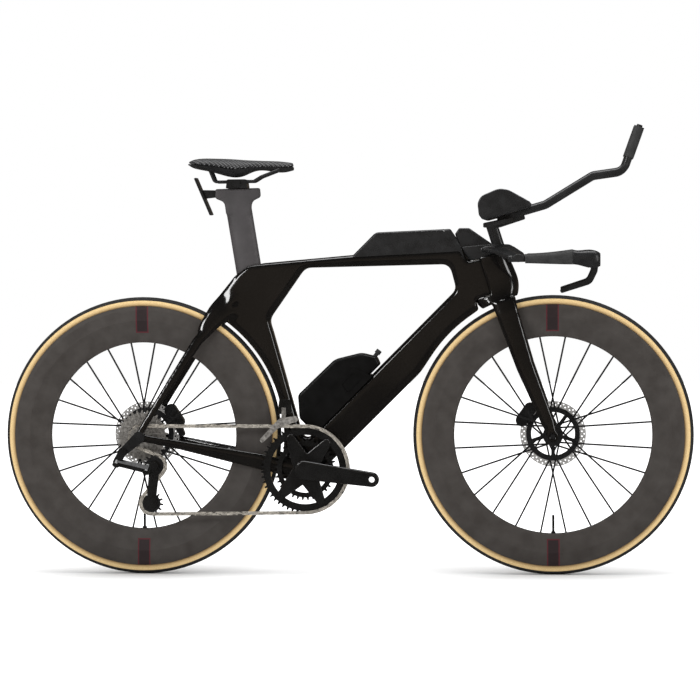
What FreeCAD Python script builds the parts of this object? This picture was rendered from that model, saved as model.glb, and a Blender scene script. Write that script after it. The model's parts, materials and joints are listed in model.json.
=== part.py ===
import FreeCAD
import Part
import Sketcher
import math
import os

from FreeCAD import Matrix, Placement, Rotation, Vector

# Time trial bicycle as an assembly of separate pieces, in millimetres.
# +X is forward, +Y is the rider's left and +Z is up. The origin is on the ground, midway between the axles.

SIZES = {
    # Wheels
    "wheel_spacing": 322.0,
    "tyre_height": 22.0,
    "tyre_width": 28.0,
    "tyre_wall": 2.0,
    "rim_radius": 317.0,
    "rim_width": 30.0,
    "rim_bead_width": 21.0,
    "rim_bed_depth": 8.0,
    "rim_nose_width": 16.0,
    "front_rim_depth": 78.0,
    "rear_rim_depth": 89.0,
    "spoke_width": 4.2,
    "spoke_thickness": 1.0,
    "flange_radius": 24.0,
    "flange_thickness": 6.0,
    "hub_barrel_radius": 13.0,
    "hub_end_radius": 10.0,
    "axle_radius": 6.0,
    "front_hub_width": 100.0,
    "rear_hub_width": 142.0,
    "front_flange_left": 22.0,
    "front_flange_right": 33.0,
    "rear_flange_left": 34.0,
    "rear_flange_right": 17.0,
    "rotor_radius": 80.0,
    "rotor_track": 14.0,
    "rotor_thickness": 1.8,
    "rotor_seat_radius": 17.0,
    "front_rotor_inset": 11.0,
    "rear_rotor_inset": 15.0,
    "valve_radius": 3.0,
    "valve_length": 44.0,
    # Frame
    "bottom_bracket_drop": 80.0,
    "shell_tyre_spacing": 61.5,
    "head_angle": 72.5,
    "fork_rake": 45.0,
    "crown_gap": 29.6,
    "head_tube_length": 92.6,
    "head_tube_radius": 21.5,
    "steerer_radius": 10.0,
    "headset_radius": 15.0,
    "headset_height": 7.0,
    "frame_width": 42.0,
    "frame_edge_radius": 10.0,
    "rear_tyre_room": 7.0,
    "front_tyre_room": 12.0,
    "shell_radius": 29.0,
    "shell_width": 79.0,
    "shell_bore_radius": 20.5,
    "dropout_thickness": 8.0,
    "dropout_radius": 15.0,
    "stay_thickness": 12.0,
    "hanger_thickness": 6.0,
    # Drive
    "crank_length": 165.0,
    "crank_angle": -8.0,
    "crank_thickness": 13.0,
    "crank_offset": 60.0,
    "crank_eye_radius": 18.0,
    "pedal_hole_radius": 7.14,
    "spindle_radius": 12.0,
    "chain_pitch": 12.7,
    "chainline": 48.0,
    "ring_spacing": 7.0,
    "outer_ring_teeth": 52.0,
    "inner_ring_teeth": 36.0,
    "pulley_teeth": 13.0,
    "cog_spacing": 3.55,
    "smallest_cog_inset": 8.0,
    "tooth_thickness": 1.6,
    "freehub_radius": 17.2,
    "cage_length": 92.0,
    "pulley_bolt_radius": 2.5,
    # Seat
    "post_angle": 81.0,
    "post_chord": 63.0,
    "post_width": 27.0,
    "post_insertion": 85.0,
    "post_exposed": 154.0,
    "post_travel": 30.0,
    "rail_radius": 3.5,
    "rail_spacing": 44.0,
    # Cockpit
    "bar_half_width": 190.0,
    "riser_chord": 29.0,
    "riser_width": 18.0,
    "riser_reach": 58.9,
    "riser_exposed": 69.0,
    "riser_insertion": 36.0,
    "extension_radius": 10.0,
    "extension_spacing": 76.0,
    "arm_cup_gap": 1.0,
    "arm_cup_half_width": 46.0,
    "arm_cup_wall": 3.5,
    "arm_pad_thickness": 9.0,
    "button_radius": 7.0,
    # Fits
    "running_clearance": 0.08,
    "seat_clearance": 0.03,
    "moving_gap": 0.7,
    "slide_clearance": 0.3,
}

COG_TEETH = (11, 12, 13, 14, 15, 16, 17, 19, 21, 24, 27, 30)
DRIVE_COG = COG_TEETH.index(13)
SPOKE_COUNT = 24
SPOKE_CROSSING = 60.0

doc = FreeCAD.newDocument("TimeTrialBike")
sheet = doc.addObject("Spreadsheet::Sheet", "Sizes")
for row, (alias, number) in enumerate(SIZES.items(), start=1):
    sheet.set("A%d" % row, alias)
    sheet.set("B%d" % row, str(number))
    sheet.setAlias("B%d" % row, alias)
doc.recompute()


class Size(float):
    """A number from the sheet that remembers the expression it came from."""

    def __new__(cls, value, text):
        size = float.__new__(cls, value)
        size.text = text
        return size

    def __add__(self, other):
        return Size(float(self) + float(other), "(%s + %s)" % (self.text, text_of(other)))

    def __radd__(self, other):
        return Size(float(other) + float(self), "(%s + %s)" % (text_of(other), self.text))

    def __sub__(self, other):
        return Size(float(self) - float(other), "(%s - %s)" % (self.text, text_of(other)))

    def __rsub__(self, other):
        return Size(float(other) - float(self), "(%s - %s)" % (text_of(other), self.text))

    def __mul__(self, other):
        return Size(float(self) * float(other), "(%s * %s)" % (self.text, text_of(other)))

    def __rmul__(self, other):
        return Size(float(other) * float(self), "(%s * %s)" % (text_of(other), self.text))

    def __truediv__(self, other):
        return Size(float(self) / float(other), "(%s / %s)" % (self.text, text_of(other)))

    def __neg__(self):
        return Size(-float(self), "(-1 * %s)" % self.text)


def text_of(number):
    return number.text if isinstance(number, Size) else repr(float(number))


class Sheet:
    """Reads each alias of the sheet as a Size."""

    def __getattr__(self, alias):
        return Size(float(sheet.get(alias)), "Sizes.%s" % alias)


S = Sheet()
PIECES = []
TURN = {
    "X": Rotation(Vector(0, 1, 0), 90),
    "Y": Rotation(Vector(1, 0, 0), -90),
    "Z": Rotation(),
}

# Sizes that follow from others
TYRE_RADIUS = S.rim_radius + S.tyre_height
WHEELBASE = 2 * TYRE_RADIUS + S.wheel_spacing
REAR_CENTRE = TYRE_RADIUS + S.shell_tyre_spacing
CROWN_HEIGHT = TYRE_RADIUS + S.crown_gap
FRONT_ROTOR = S.front_hub_width / 2 - S.front_rotor_inset
REAR_ROTOR = S.rear_hub_width / 2 - S.rear_rotor_inset
SMALLEST_COG = S.rear_hub_width / 2 - S.smallest_cog_inset
ARM_CUP_Y = S.extension_spacing / 2 + S.extension_radius + S.arm_cup_gap + S.arm_cup_half_width

# Reference points in the side plane, as (x, z)
REAR_AXLE = (-WHEELBASE / 2, TYRE_RADIUS)
FRONT_AXLE = (WHEELBASE / 2, TYRE_RADIUS)
BOTTOM_BRACKET = (-WHEELBASE / 2 + REAR_CENTRE, TYRE_RADIUS - S.bottom_bracket_drop)
HEAD_COS = Size(math.cos(math.radians(S.head_angle)), "cos(Sizes.head_angle)")
HEAD_SIN = Size(math.sin(math.radians(S.head_angle)), "sin(Sizes.head_angle)")
STEER_FOOT = (
    FRONT_AXLE[0] - S.fork_rake * HEAD_SIN,
    FRONT_AXLE[1] - S.fork_rake * HEAD_COS,
)
HEAD_TOP = CROWN_HEIGHT + S.head_tube_length
UP = Vector(-HEAD_COS, 0, HEAD_SIN)
AHEAD = Vector(HEAD_SIN, 0, HEAD_COS)
SIDE = Vector(0, 1, 0)


def steer(reach, height, y=0.0):
    """Point given by its reach ahead of the steering axis and its height along it."""
    foot = Vector(STEER_FOOT[0], 0, STEER_FOOT[1])
    return foot + AHEAD * float(reach) + UP * float(height) + SIDE * float(y)


def place(origin, dx, dz):
    """Point of the side plane at an offset from a reference point."""
    return (origin[0] + dx, origin[1] + dz)


def along(start, end, distance, rise):
    """Point of the side plane measured along a line and square to it, to its left."""
    length = math.hypot(end[0] - start[0], end[1] - start[1])
    ux = (end[0] - start[0]) / length
    uz = (end[1] - start[1]) / length
    return (start[0] + distance * ux - rise * uz, start[1] + distance * uz + rise * ux)


def point(place_xz, y=0.0):
    return Vector(place_xz[0], y, place_xz[1])


def bind(item, prop, value):
    item.setExpression(prop, text_of(value))


def keep(label, item):
    """Registers a finished sub-part under the name of its file."""
    item.Label = label
    PIECES.append(item)
    return item


def feature(name, shape):
    item = doc.addObject("Part::Feature", name)
    item.Shape = shape
    item.Placement = Placement()
    return item


def rod(name, radius, length, at, axis="Y"):
    """Cylinder along an axis of the frame, starting at a point."""
    item = doc.addObject("Part::Cylinder", name)
    item.Placement = Placement(Vector(), TURN[axis])
    bind(item, "Radius", radius)
    bind(item, "Height", length)
    for letter, value in zip("xyz", at):
        bind(item, "Placement.Base.%s" % letter, value)
    return item


def steer_rod(name, radius, start, length):
    """Cylinder about the steering axis, from a height along it."""
    item = doc.addObject("Part::Cylinder", name)
    item.Placement = Placement(Vector(), Rotation(Vector(0, 0, 1), UP))
    bind(item, "Radius", radius)
    bind(item, "Height", length)
    bind(item, "Placement.Base.x", STEER_FOOT[0] - start * HEAD_COS)
    bind(item, "Placement.Base.z", STEER_FOOT[1] + start * HEAD_SIN)
    return item


def cut(name, base, *tools):
    item = doc.addObject("Part::Cut", name)
    item.Base = base
    item.Tool = tools[0] if len(tools) == 1 else fuse(name + "_tools", *tools)
    return item


def fuse(name, *shapes):
    item = doc.addObject("Part::MultiFuse", name)
    item.Shapes = list(shapes)
    return item


def group(name, *items):
    item = doc.addObject("Part::Compound", name)
    item.Links = list(items)
    return item


def origin_plane(body, role):
    return [plane for plane in body.Origin.OriginFeatures if plane.Role == role][0]


def turned(name, outline, centre):
    """Body turned about a wheel axis from corners given as (radius, y)."""
    body = doc.addObject("PartDesign::Body", name)
    sketch = body.newObject("Sketcher::SketchObject", name + "_outline")
    sketch.AttachmentSupport = [(origin_plane(body, "XY_Plane"), "")]
    sketch.MapMode = "FlatFace"
    count = len(outline)
    for i in range(count):
        start = Vector(outline[i][0], outline[i][1], 0)
        end = Vector(outline[(i + 1) % count][0], outline[(i + 1) % count][1], 0)
        sketch.addGeometry(Part.LineSegment(start, end))
    for i in range(count):
        sketch.addConstraint(Sketcher.Constraint("Coincident", i, 2, (i + 1) % count, 1))
        for kind, value in zip(("DistanceX", "DistanceY"), outline[i]):
            number = sketch.addConstraint(Sketcher.Constraint(kind, -1, 1, i, 1, float(value)))
            bind(sketch, "Constraints[%d]" % number, value)
    turn = body.newObject("PartDesign::Revolution", name + "_turn")
    turn.Profile = sketch
    turn.ReferenceAxis = (sketch, ["V_Axis"])
    turn.Angle = 360
    bind(body, "Placement.Base.x", centre[0])
    bind(body, "Placement.Base.z", centre[1])
    return body


def rounded_wire(corners, y):
    """Closed outline at a constant y with corners given as (x, z, radius)."""
    count = len(corners)
    spots = [Vector(x, y, z) for x, z, radius in corners]
    bends = []
    for i in range(count):
        back = (spots[i - 1] - spots[i]).normalize()
        on = (spots[(i + 1) % count] - spots[i]).normalize()
        half = back.getAngle(on) / 2
        radius = corners[i][2]
        reach = radius / math.tan(half)
        middle = spots[i] + (back + on).normalize() * (radius / math.sin(half) - radius)
        bends.append((spots[i] + back * reach, middle, spots[i] + on * reach))
    edges = []
    for i in range(count):
        start, middle, end = bends[i]
        following = bends[(i + 1) % count][0]
        if corners[i][2] > 0:
            edges.append(Part.Arc(start, middle, end).toShape())
        if end.distanceToPoint(following) > 1e-6:
            edges.append(Part.LineSegment(end, following).toShape())
    return Part.Wire(edges)


def holed_face(wires):
    return Part.makeFace(wires, "Part::FaceMakerBullseye")


def plate(corners, y_from, y_to, *holes):
    """Flat piece between two values of y, with an outline of rounded corners and any holes."""
    wires = [rounded_wire(corners, y_from)] + [rounded_wire(hole, y_from) for hole in holes]
    return holed_face(wires).extrude(Vector(0, y_to - y_from, 0))


def sharp(places, radius=0.0):
    return [(x, z, radius) for x, z in places]


def soften(shape, radius, keep_edge):
    return shape.makeFillet(radius, [edge for edge in shape.Edges if keep_edge(edge)])


def taper_plate(start, end, start_radius, end_radius, y_from, y_to):
    """Flat link with a round end about each of two points of the side plane."""
    length = math.hypot(end[0] - start[0], end[1] - start[1])
    heading = math.atan2(end[1] - start[1], end[0] - start[0])
    spread = math.acos((start_radius - end_radius) / length)

    def rim(centre, radius, angle):
        return Vector(centre[0] + radius * math.cos(angle), y_from, centre[1] + radius * math.sin(angle))

    first = rim(start, start_radius, heading + spread)
    second = rim(end, end_radius, heading + spread)
    third = rim(end, end_radius, heading - spread)
    fourth = rim(start, start_radius, heading - spread)
    edges = [
        Part.LineSegment(first, second).toShape(),
        Part.Arc(second, rim(end, end_radius, heading), third).toShape(),
        Part.LineSegment(third, fourth).toShape(),
        Part.Arc(fourth, rim(start, start_radius, heading + math.pi), first).toShape(),
    ]
    return Part.Face(Part.Wire(edges)).extrude(Vector(0, y_to - y_from, 0))


def drum(centre, radius, y_from, y_to):
    return Part.makeCylinder(radius, y_to - y_from, Vector(centre[0], y_from, centre[1]), SIDE)


def bar(start, end, radius):
    return Part.makeCylinder(radius, start.distanceToPoint(end), start, end - start)


def section(centre, first, second, half_first, half_second, power=2.5, count=16):
    """Closed smooth outline of a rounded box, in the plane of two directions."""
    curve = Part.BSplineCurve()
    curve.interpolate(rounded_box(centre, first, second, half_first, half_second, power, count), PeriodicFlag=True)
    return Part.Wire(curve.toShape())


def facets(centre, first, second, half_first, half_second, power=2.5, count=20):
    """The same outline in straight steps, for long thin members."""
    spots = rounded_box(centre, first, second, half_first, half_second, power, count)
    return Part.makePolygon(spots + spots[:1])


def rounded_box(centre, first, second, half_first, half_second, power, count):
    spots = []
    for k in range(count):
        angle = 2 * math.pi * k / count
        c = math.cos(angle)
        s = math.sin(angle)
        u = half_first * math.copysign(abs(c) ** (2 / power), c)
        v = half_second * math.copysign(abs(s) ** (2 / power), s)
        spots.append(centre + first * u + second * v)
    return spots


def loft(sections, ruled=False):
    return Part.makeLoft(sections, True, ruled)


def pipe(spots, radius, bend):
    """Round tube along straight runs joined by tangent arcs of one bend radius."""
    edges = []
    start = spots[0]
    for before, here, after in zip(spots, spots[1:], spots[2:]):
        back = (before - here).normalize()
        on = (after - here).normalize()
        half = back.getAngle(on) / 2
        reach = bend / math.tan(half)
        middle = here + (back + on).normalize() * (bend / math.sin(half) - bend)
        edges.append(Part.LineSegment(start, here + back * reach).toShape())
        edges.append(Part.Arc(here + back * reach, middle, here + on * reach).toShape())
        start = here + on * reach
    edges.append(Part.LineSegment(start, spots[-1]).toShape())
    path = Part.Wire(edges)
    profile = Part.Wire(Part.makeCircle(radius, spots[0], spots[1] - spots[0]))
    return path.makePipeShell([profile], True, False)


def mirrored(shape):
    """The same piece on the other side of the middle plane."""
    return shape.mirror(Vector(), SIDE)


def both_sides(shape):
    return Part.Compound([shape, mirrored(shape)])


def joined(shapes):
    return shapes[0].multiFuse(list(shapes[1:])).removeSplitter()


# Wheels


def make_rim(name, depth, centre):
    inner = S.rim_radius - depth
    half = S.rim_width / 2
    nose = S.rim_nose_width / 2
    bead = S.rim_bead_width / 2
    bed = S.rim_radius - S.rim_bed_depth
    right_side = [
        (inner, nose / 2),
        (inner + 3, nose * 0.8),
        (inner + 9, nose),
        (inner + depth * 0.6, half + 1),
        (S.rim_radius - 9, half + 1),
        (S.rim_radius, half),
        (S.rim_radius, bead),
        (bed, bead),
    ]
    left_side = [(radius, -y) for radius, y in reversed(right_side)]
    return keep(name, turned(name, right_side + left_side, centre))


def make_tyre(name, centre):
    ring = TYRE_RADIUS - S.tyre_width / 2
    casing = doc.addObject("Part::Torus", name + "_casing")
    air = doc.addObject("Part::Torus", name + "_air")
    for torus, radius in ((casing, S.tyre_width / 2), (air, S.tyre_width / 2 - S.tyre_wall)):
        torus.Placement = Placement(Vector(), TURN["Y"])
        bind(torus, "Radius1", ring)
        bind(torus, "Radius2", radius)
        bind(torus, "Placement.Base.x", centre[0])
        bind(torus, "Placement.Base.z", centre[1])
    bead = S.rim_bead_width / 2 - S.seat_clearance
    lip = S.rim_radius + S.seat_clearance
    bed = S.rim_radius - S.rim_bed_depth
    outside = S.rim_width
    hook_room = [(bed, bead), (lip, bead), (lip, outside), (bed, outside)]
    other_hook_room = [(radius, -y) for radius, y in reversed(hook_room)]
    mouth = S.tyre_width / 4
    slit = [(bed, -mouth), (bed + 5, -mouth), (bed + 5, mouth), (bed, mouth)]
    tools = [
        turned(name + "_right_hook", hook_room, centre),
        turned(name + "_left_hook", other_hook_room, centre),
        turned(name + "_slit", slit, centre),
        air,
    ]
    return keep(name, cut(name, casing, *tools))


def make_hub(name, width, left, right, rotor_offset, centre, right_end):
    bore = S.axle_radius + S.running_clearance
    half_flange = S.flange_thickness / 2
    end = width / 2 - S.slide_clearance
    outline = [
        (bore, -right_end),
        (S.hub_end_radius, -right_end),
        (S.hub_barrel_radius, -(right + half_flange)),
        (S.flange_radius, -(right + half_flange)),
        (S.flange_radius, -(right - half_flange)),
        (S.hub_barrel_radius, -(right - half_flange) + 4),
        (S.hub_barrel_radius, left - half_flange - 4),
        (S.flange_radius, left - half_flange),
        (S.flange_radius, left + half_flange),
        (S.rotor_seat_radius + 3, left + half_flange),
        (S.rotor_seat_radius + 3, rotor_offset - S.rotor_thickness / 2),
        (S.rotor_seat_radius, rotor_offset - S.rotor_thickness / 2),
        (S.rotor_seat_radius, rotor_offset + 4),
        (S.hub_end_radius, rotor_offset + 4),
        (S.hub_end_radius, end),
        (bore, end),
    ]
    return keep(name, turned(name, outline, centre))


def make_spokes(name, depth, left, right, centre):
    """Flat spokes from both flanges, each crossing its neighbours, that end inside rim and flange."""
    hub_radius = S.flange_radius - 3
    rim_radius = S.rim_radius - depth + 6
    offset = S.spoke_thickness + 0.6
    blades = []
    for k in range(SPOKE_COUNT):
        rim_angle = math.radians(360 / SPOKE_COUNT * (k + 0.5))
        leading = (k // 2) % 2 == 0
        hub_angle = rim_angle + math.radians(SPOKE_CROSSING if leading else -SPOKE_CROSSING)
        flange_y = (left if k % 2 else -right) + (offset if leading else -offset)
        start = Vector(hub_radius * math.cos(hub_angle), flange_y, hub_radius * math.sin(hub_angle))
        end = Vector(rim_radius * math.cos(rim_angle), 0, rim_radius * math.sin(rim_angle))
        blade = Part.makeBox(
            S.spoke_thickness,
            S.spoke_width,
            start.distanceToPoint(end),
            Vector(-S.spoke_thickness / 2, -S.spoke_width / 2, 0),
        )
        way = (end - start).normalize()
        flat = way.cross(SIDE).normalize()
        thin = flat.cross(way)
        frame = Matrix(
            thin.x, flat.x, way.x, start.x,
            thin.y, flat.y, way.y, start.y,
            thin.z, flat.z, way.z, start.z,
            0, 0, 0, 1,
        )
        blade.Placement = Placement(frame)
        blade.translate(point(centre))
        blades.append(blade)
    return keep(name, feature(name, Part.Compound(blades)))


def make_rotor(name, offset, centre):
    """Brake track with two rows of vents, and a star that carries it."""
    half = S.rotor_thickness / 2
    inner = S.rotor_radius - S.rotor_track
    vent_radius = 1.9
    vent_rows = ((S.rotor_radius - 4.2, 0.0), (S.rotor_radius - 9.6, 0.5))
    vent_count = 36
    base = Vector(centre[0], offset - half, centre[1])

    def circle(radius, at):
        return Part.Wire(Part.makeCircle(radius, at, SIDE))

    wires = [circle(S.rotor_radius, base), circle(inner, base)]
    for row_radius, shift in vent_rows:
        for k in range(vent_count):
            angle = 2 * math.pi * (k + shift) / vent_count
            wires.append(circle(vent_radius, base + Vector(math.cos(angle), 0, math.sin(angle)) * row_radius))
    track = holed_face(wires).extrude(SIDE * S.rotor_thickness)
    arm_count = 5
    arm_width = 9.0
    cooling_width = 13.0
    collar_width = 6.0
    seat = S.rotor_seat_radius + S.seat_clearance
    outer = inner - S.seat_clearance
    star = []
    for big, small in ((outer, outer - cooling_width), (seat + collar_width, seat)):
        star.append(holed_face([circle(big, base), circle(small, base)]).extrude(SIDE * S.rotor_thickness))
    for k in range(arm_count):
        arm = Part.makeBox(outer - seat - 6, 2 * half, arm_width, Vector(seat + 3, 0, -arm_width / 2))
        arm.rotate(Vector(), SIDE, 360 / arm_count * k + 18)
        arm.translate(base)
        star.append(arm)
    return keep(name, feature(name, Part.Compound([track, joined(star)])))


def make_valve(name, depth, centre):
    top = centre[1] - (S.rim_radius - depth) + S.slide_clearance
    seat = rod(name + "_nut", S.valve_radius + 2.5, 4, (centre[0], 0, top), "Z")
    stem = rod(name + "_stem", S.valve_radius, S.valve_length, (centre[0], 0, top), "Z")
    return keep(name, fuse(name, seat, stem))


def make_wheels():
    rear_right_end = S.rear_flange_right + S.flange_thickness / 2 + 1
    for end, centre, depth in (
        ("front", FRONT_AXLE, S.front_rim_depth),
        ("rear", REAR_AXLE, S.rear_rim_depth),
    ):
        make_tyre(end + "_tyre", centre)
        make_rim(end + "_rim", depth, centre)
        make_valve(end + "_valve", depth, centre)
    make_hub("front_hub", S.front_hub_width, S.front_flange_left, S.front_flange_right,
             FRONT_ROTOR, FRONT_AXLE, S.front_hub_width / 2 - S.slide_clearance)
    make_hub("rear_hub", S.rear_hub_width, S.rear_flange_left, S.rear_flange_right,
             REAR_ROTOR, REAR_AXLE, rear_right_end)
    make_spokes("front_spokes", S.front_rim_depth, S.front_flange_left, S.front_flange_right, FRONT_AXLE)
    make_spokes("rear_spokes", S.rear_rim_depth, S.rear_flange_left, S.rear_flange_right, REAR_AXLE)
    make_rotor("front_rotor", FRONT_ROTOR, FRONT_AXLE)
    make_rotor("rear_rotor", REAR_ROTOR, REAR_AXLE)


# Drive


def pitch_radius(teeth):
    return S.chain_pitch / (2 * math.sin(math.pi / teeth))


def sprocket(teeth, centre, y, thickness, bore, phase):
    """Toothed disc whose gaps hold chain rollers, the first gap at the phase angle."""
    radius = pitch_radius(teeth)
    gap_shape = ((-4.05, 2.8), (2.6, 5.3))
    outline = []
    for k in range(int(teeth)):
        angle = phase + 2 * math.pi * k / teeth
        out = Vector(math.cos(angle), 0, math.sin(angle))
        on = Vector(-math.sin(angle), 0, math.cos(angle))
        (root, root_half), (tip, tip_half) = gap_shape
        for height, half in ((tip, -tip_half), (root, -root_half), (root, root_half), (tip, tip_half)):
            outline.append(out * (radius + height) + on * half)
    base = Vector(centre[0], y - thickness / 2, centre[1])
    rim = Part.makePolygon([base + spot for spot in outline + outline[:1]])
    hole = Part.Wire(Part.makeCircle(bore, base, SIDE))
    return holed_face([rim, hole]).extrude(SIDE * thickness)


def cog_offset(number):
    return SMALLEST_COG - S.cog_spacing * number


# Share of a straight run, at each end, that stays in line with its sprocket
STRAIGHT_SHARE = 0.12


class ChainRoute:
    """Chain loop over four sprockets, each given as (centre, teeth, y, sense of turn)."""

    def __init__(self, stations):
        self.stations = stations
        self.parts = []
        self.length = 0.0
        lines = [self.tangent(stations[i], stations[(i + 1) % len(stations)]) for i in range(len(stations))]
        for i, station in enumerate(stations):
            arrive = lines[i - 1][1]
            leave = lines[i][0]
            self.add_arc(i, station, arrive, leave)
            self.add_run(station, stations[(i + 1) % len(stations)], lines[i])

    def tangent(self, first, second):
        (c1, n1, y1, s1), (c2, n2, y2, s2) = first, second
        reach = math.hypot(c2[0] - c1[0], c2[1] - c1[1])
        heading = math.atan2(c2[1] - c1[1], c2[0] - c1[0])
        heading -= math.asin((s2 * pitch_radius(n2) - s1 * pitch_radius(n1)) / reach)
        left = (-math.sin(heading), math.cos(heading))
        ends = []
        for centre, teeth, y, sense in (first, second):
            offset = sense * pitch_radius(teeth)
            ends.append((centre[0] - offset * left[0], centre[1] - offset * left[1]))
        return ends

    def add_arc(self, index, station, arrive, leave):
        centre, teeth, y, sense = station
        start = math.atan2(arrive[1] - centre[1], arrive[0] - centre[0])
        end = math.atan2(leave[1] - centre[1], leave[0] - centre[0])
        sweep = ((end - start) * sense) % (2 * math.pi)
        steps = sweep / (2 * math.pi / teeth)
        self.parts.append(("arc", self.length, steps, station, start, index))
        self.length += steps

    def add_run(self, station, following, line):
        run = math.hypot(line[1][0] - line[0][0], line[1][1] - line[0][1])
        steps = run / S.chain_pitch
        self.parts.append(("run", self.length, steps, station, line, following))
        self.length += steps

    def spot(self, steps):
        """Centre of the roller that lies a number of pitches along the loop."""
        steps = steps % self.length
        for kind, begin, count, station, shape, other in self.parts:
            if begin <= steps <= begin + count:
                centre, teeth, y, sense = station
                if kind == "arc":
                    angle = shape + sense * (steps - begin) * 2 * math.pi / teeth
                    radius = pitch_radius(teeth)
                    return Vector(centre[0] + radius * math.cos(angle), y, centre[1] + radius * math.sin(angle))
                share = (steps - begin) / count
                drift = min(max((share - STRAIGHT_SHARE) / (1 - 2 * STRAIGHT_SHARE), 0), 1)
                x = shape[0][0] + (shape[1][0] - shape[0][0]) * share
                z = shape[0][1] + (shape[1][1] - shape[0][1]) * share
                return Vector(x, y + (other[2] - y) * drift, z)

    def phase(self, index):
        """Angle of one roller that lies on a sprocket."""
        for kind, begin, count, station, start, number in self.parts:
            if kind == "arc" and number == index:
                step = math.ceil(begin)
                return start + station[3] * (step - begin) * 2 * math.pi / station[1]


def derailleur_places(cage_angle):
    """Centres of the guide and tension pulleys."""
    guide = place(REAR_AXLE, 35, -70)
    tension = (
        guide[0] + S.cage_length * math.cos(cage_angle),
        guide[1] + S.cage_length * math.sin(cage_angle),
    )
    return guide, tension


def route_at(cage_angle):
    guide, tension = derailleur_places(cage_angle)
    cog_y = -cog_offset(DRIVE_COG)
    return ChainRoute([
        (BOTTOM_BRACKET, S.outer_ring_teeth, -S.chainline, -1),
        (tension, S.pulley_teeth, cog_y, -1),
        (guide, S.pulley_teeth, cog_y, 1),
        (REAR_AXLE, COG_TEETH[DRIVE_COG], cog_y, -1),
    ])


# Cage angle the chain's length is chosen for, in degrees
CAGE_TARGET = -96.0
CHAIN_LINKS = 2 * round(route_at(math.radians(CAGE_TARGET)).length / 2)


def settle_cage():
    """Cage angle at which the loop takes exactly the chain's count of links."""
    low = math.radians(-140)
    high = math.radians(-40)
    for k in range(60):
        middle = (low + high) / 2
        if route_at(middle).length > CHAIN_LINKS:
            low = middle
        else:
            high = middle
    return (low + high) / 2


CAGE_ANGLE = settle_cage()
ROUTE = route_at(CAGE_ANGLE)
GUIDE, TENSION = derailleur_places(CAGE_ANGLE)
PULLEY_Y = -cog_offset(DRIVE_COG)
LINK = {
    "roller_radius": 3.85,
    "roller_bore": 1.95,
    "pin_radius": 1.8,
    "inner_gap": 2.2,
    "plate": 0.65,
    "plate_gap": 0.1,
    "plate_radius": 4.2,
}


def link_plate(inside, thickness, bore):
    """Pair of link plates about the chain's middle plane, with or without pin bores."""
    pitch = S.chain_pitch
    shape = taper_plate((0, 0), (pitch, 0), LINK["plate_radius"], LINK["plate_radius"], inside, inside + thickness)
    if bore:
        for x in (0, pitch):
            shape = shape.cut(drum((x, 0), bore, inside - 1, inside + thickness + 1))
    return [shape, mirrored(shape)]


def make_chain():
    inside = LINK["inner_gap"] / 2
    outside = inside + LINK["plate"] + LINK["plate_gap"]
    reach = outside + LINK["plate"]
    inner_pieces = link_plate(inside, LINK["plate"], LINK["roller_bore"])
    outer_pieces = link_plate(outside, LINK["plate"], None)
    for x in (0, float(S.chain_pitch)):
        roller = drum((x, 0), LINK["roller_radius"], -inside, inside)
        inner_pieces.append(roller.cut(drum((x, 0), LINK["roller_bore"], -inside - 1, inside + 1)))
        outer_pieces.append(drum((x, 0), LINK["pin_radius"], -reach - 0.08, reach + 0.08))
    kinds = (joined(outer_pieces), joined(inner_pieces))
    links = []
    for k in range(int(CHAIN_LINKS)):
        start = ROUTE.spot(k)
        end = ROUTE.spot(k + 1)
        way = (end - start).normalize()
        across = (SIDE - way * SIDE.dot(way)).normalize()
        up = way.cross(across)
        slack = (start.distanceToPoint(end) - S.chain_pitch) / 2
        start = start + way * slack
        frame = Matrix(
            way.x, across.x, up.x, start.x,
            way.y, across.y, up.y, start.y,
            way.z, across.z, up.z, start.z,
            0, 0, 0, 1,
        )
        link = kinds[k % 2].copy()
        link.Placement = Placement(frame)
        links.append(link)
    return keep("chain", feature("chain", Part.Compound(links)))


def make_cassette():
    bore = S.axle_radius + S.running_clearance
    right_end = S.rear_flange_right + S.flange_thickness / 2 + 1
    cogs = []
    for number, teeth in enumerate(COG_TEETH):
        phase = ROUTE.phase(3) if number == DRIVE_COG else 0.0
        y = -cog_offset(number)
        cogs.append(sprocket(teeth, REAR_AXLE, y, S.tooth_thickness, S.freehub_radius + S.seat_clearance, phase))
    freehub = turned("freehub", [
        (bore, -(right_end + S.moving_gap)),
        (S.freehub_radius, -(right_end + S.moving_gap)),
        (S.freehub_radius, -(SMALLEST_COG + 2.5)),
        (S.hub_end_radius, -(SMALLEST_COG + 2.5)),
        (S.hub_end_radius, -(S.rear_hub_width / 2 - S.slide_clearance)),
        (bore, -(S.rear_hub_width / 2 - S.slide_clearance)),
    ], REAR_AXLE)
    return keep("cassette", group("cassette", feature("cogs", Part.Compound(cogs)), freehub))


def ring_arm_places():
    """Directions of the four arms that carry the chainrings, from the crank arm."""
    return [math.radians(S.crank_angle + turn) for turn in (58, 122, 235, 305)]


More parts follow.
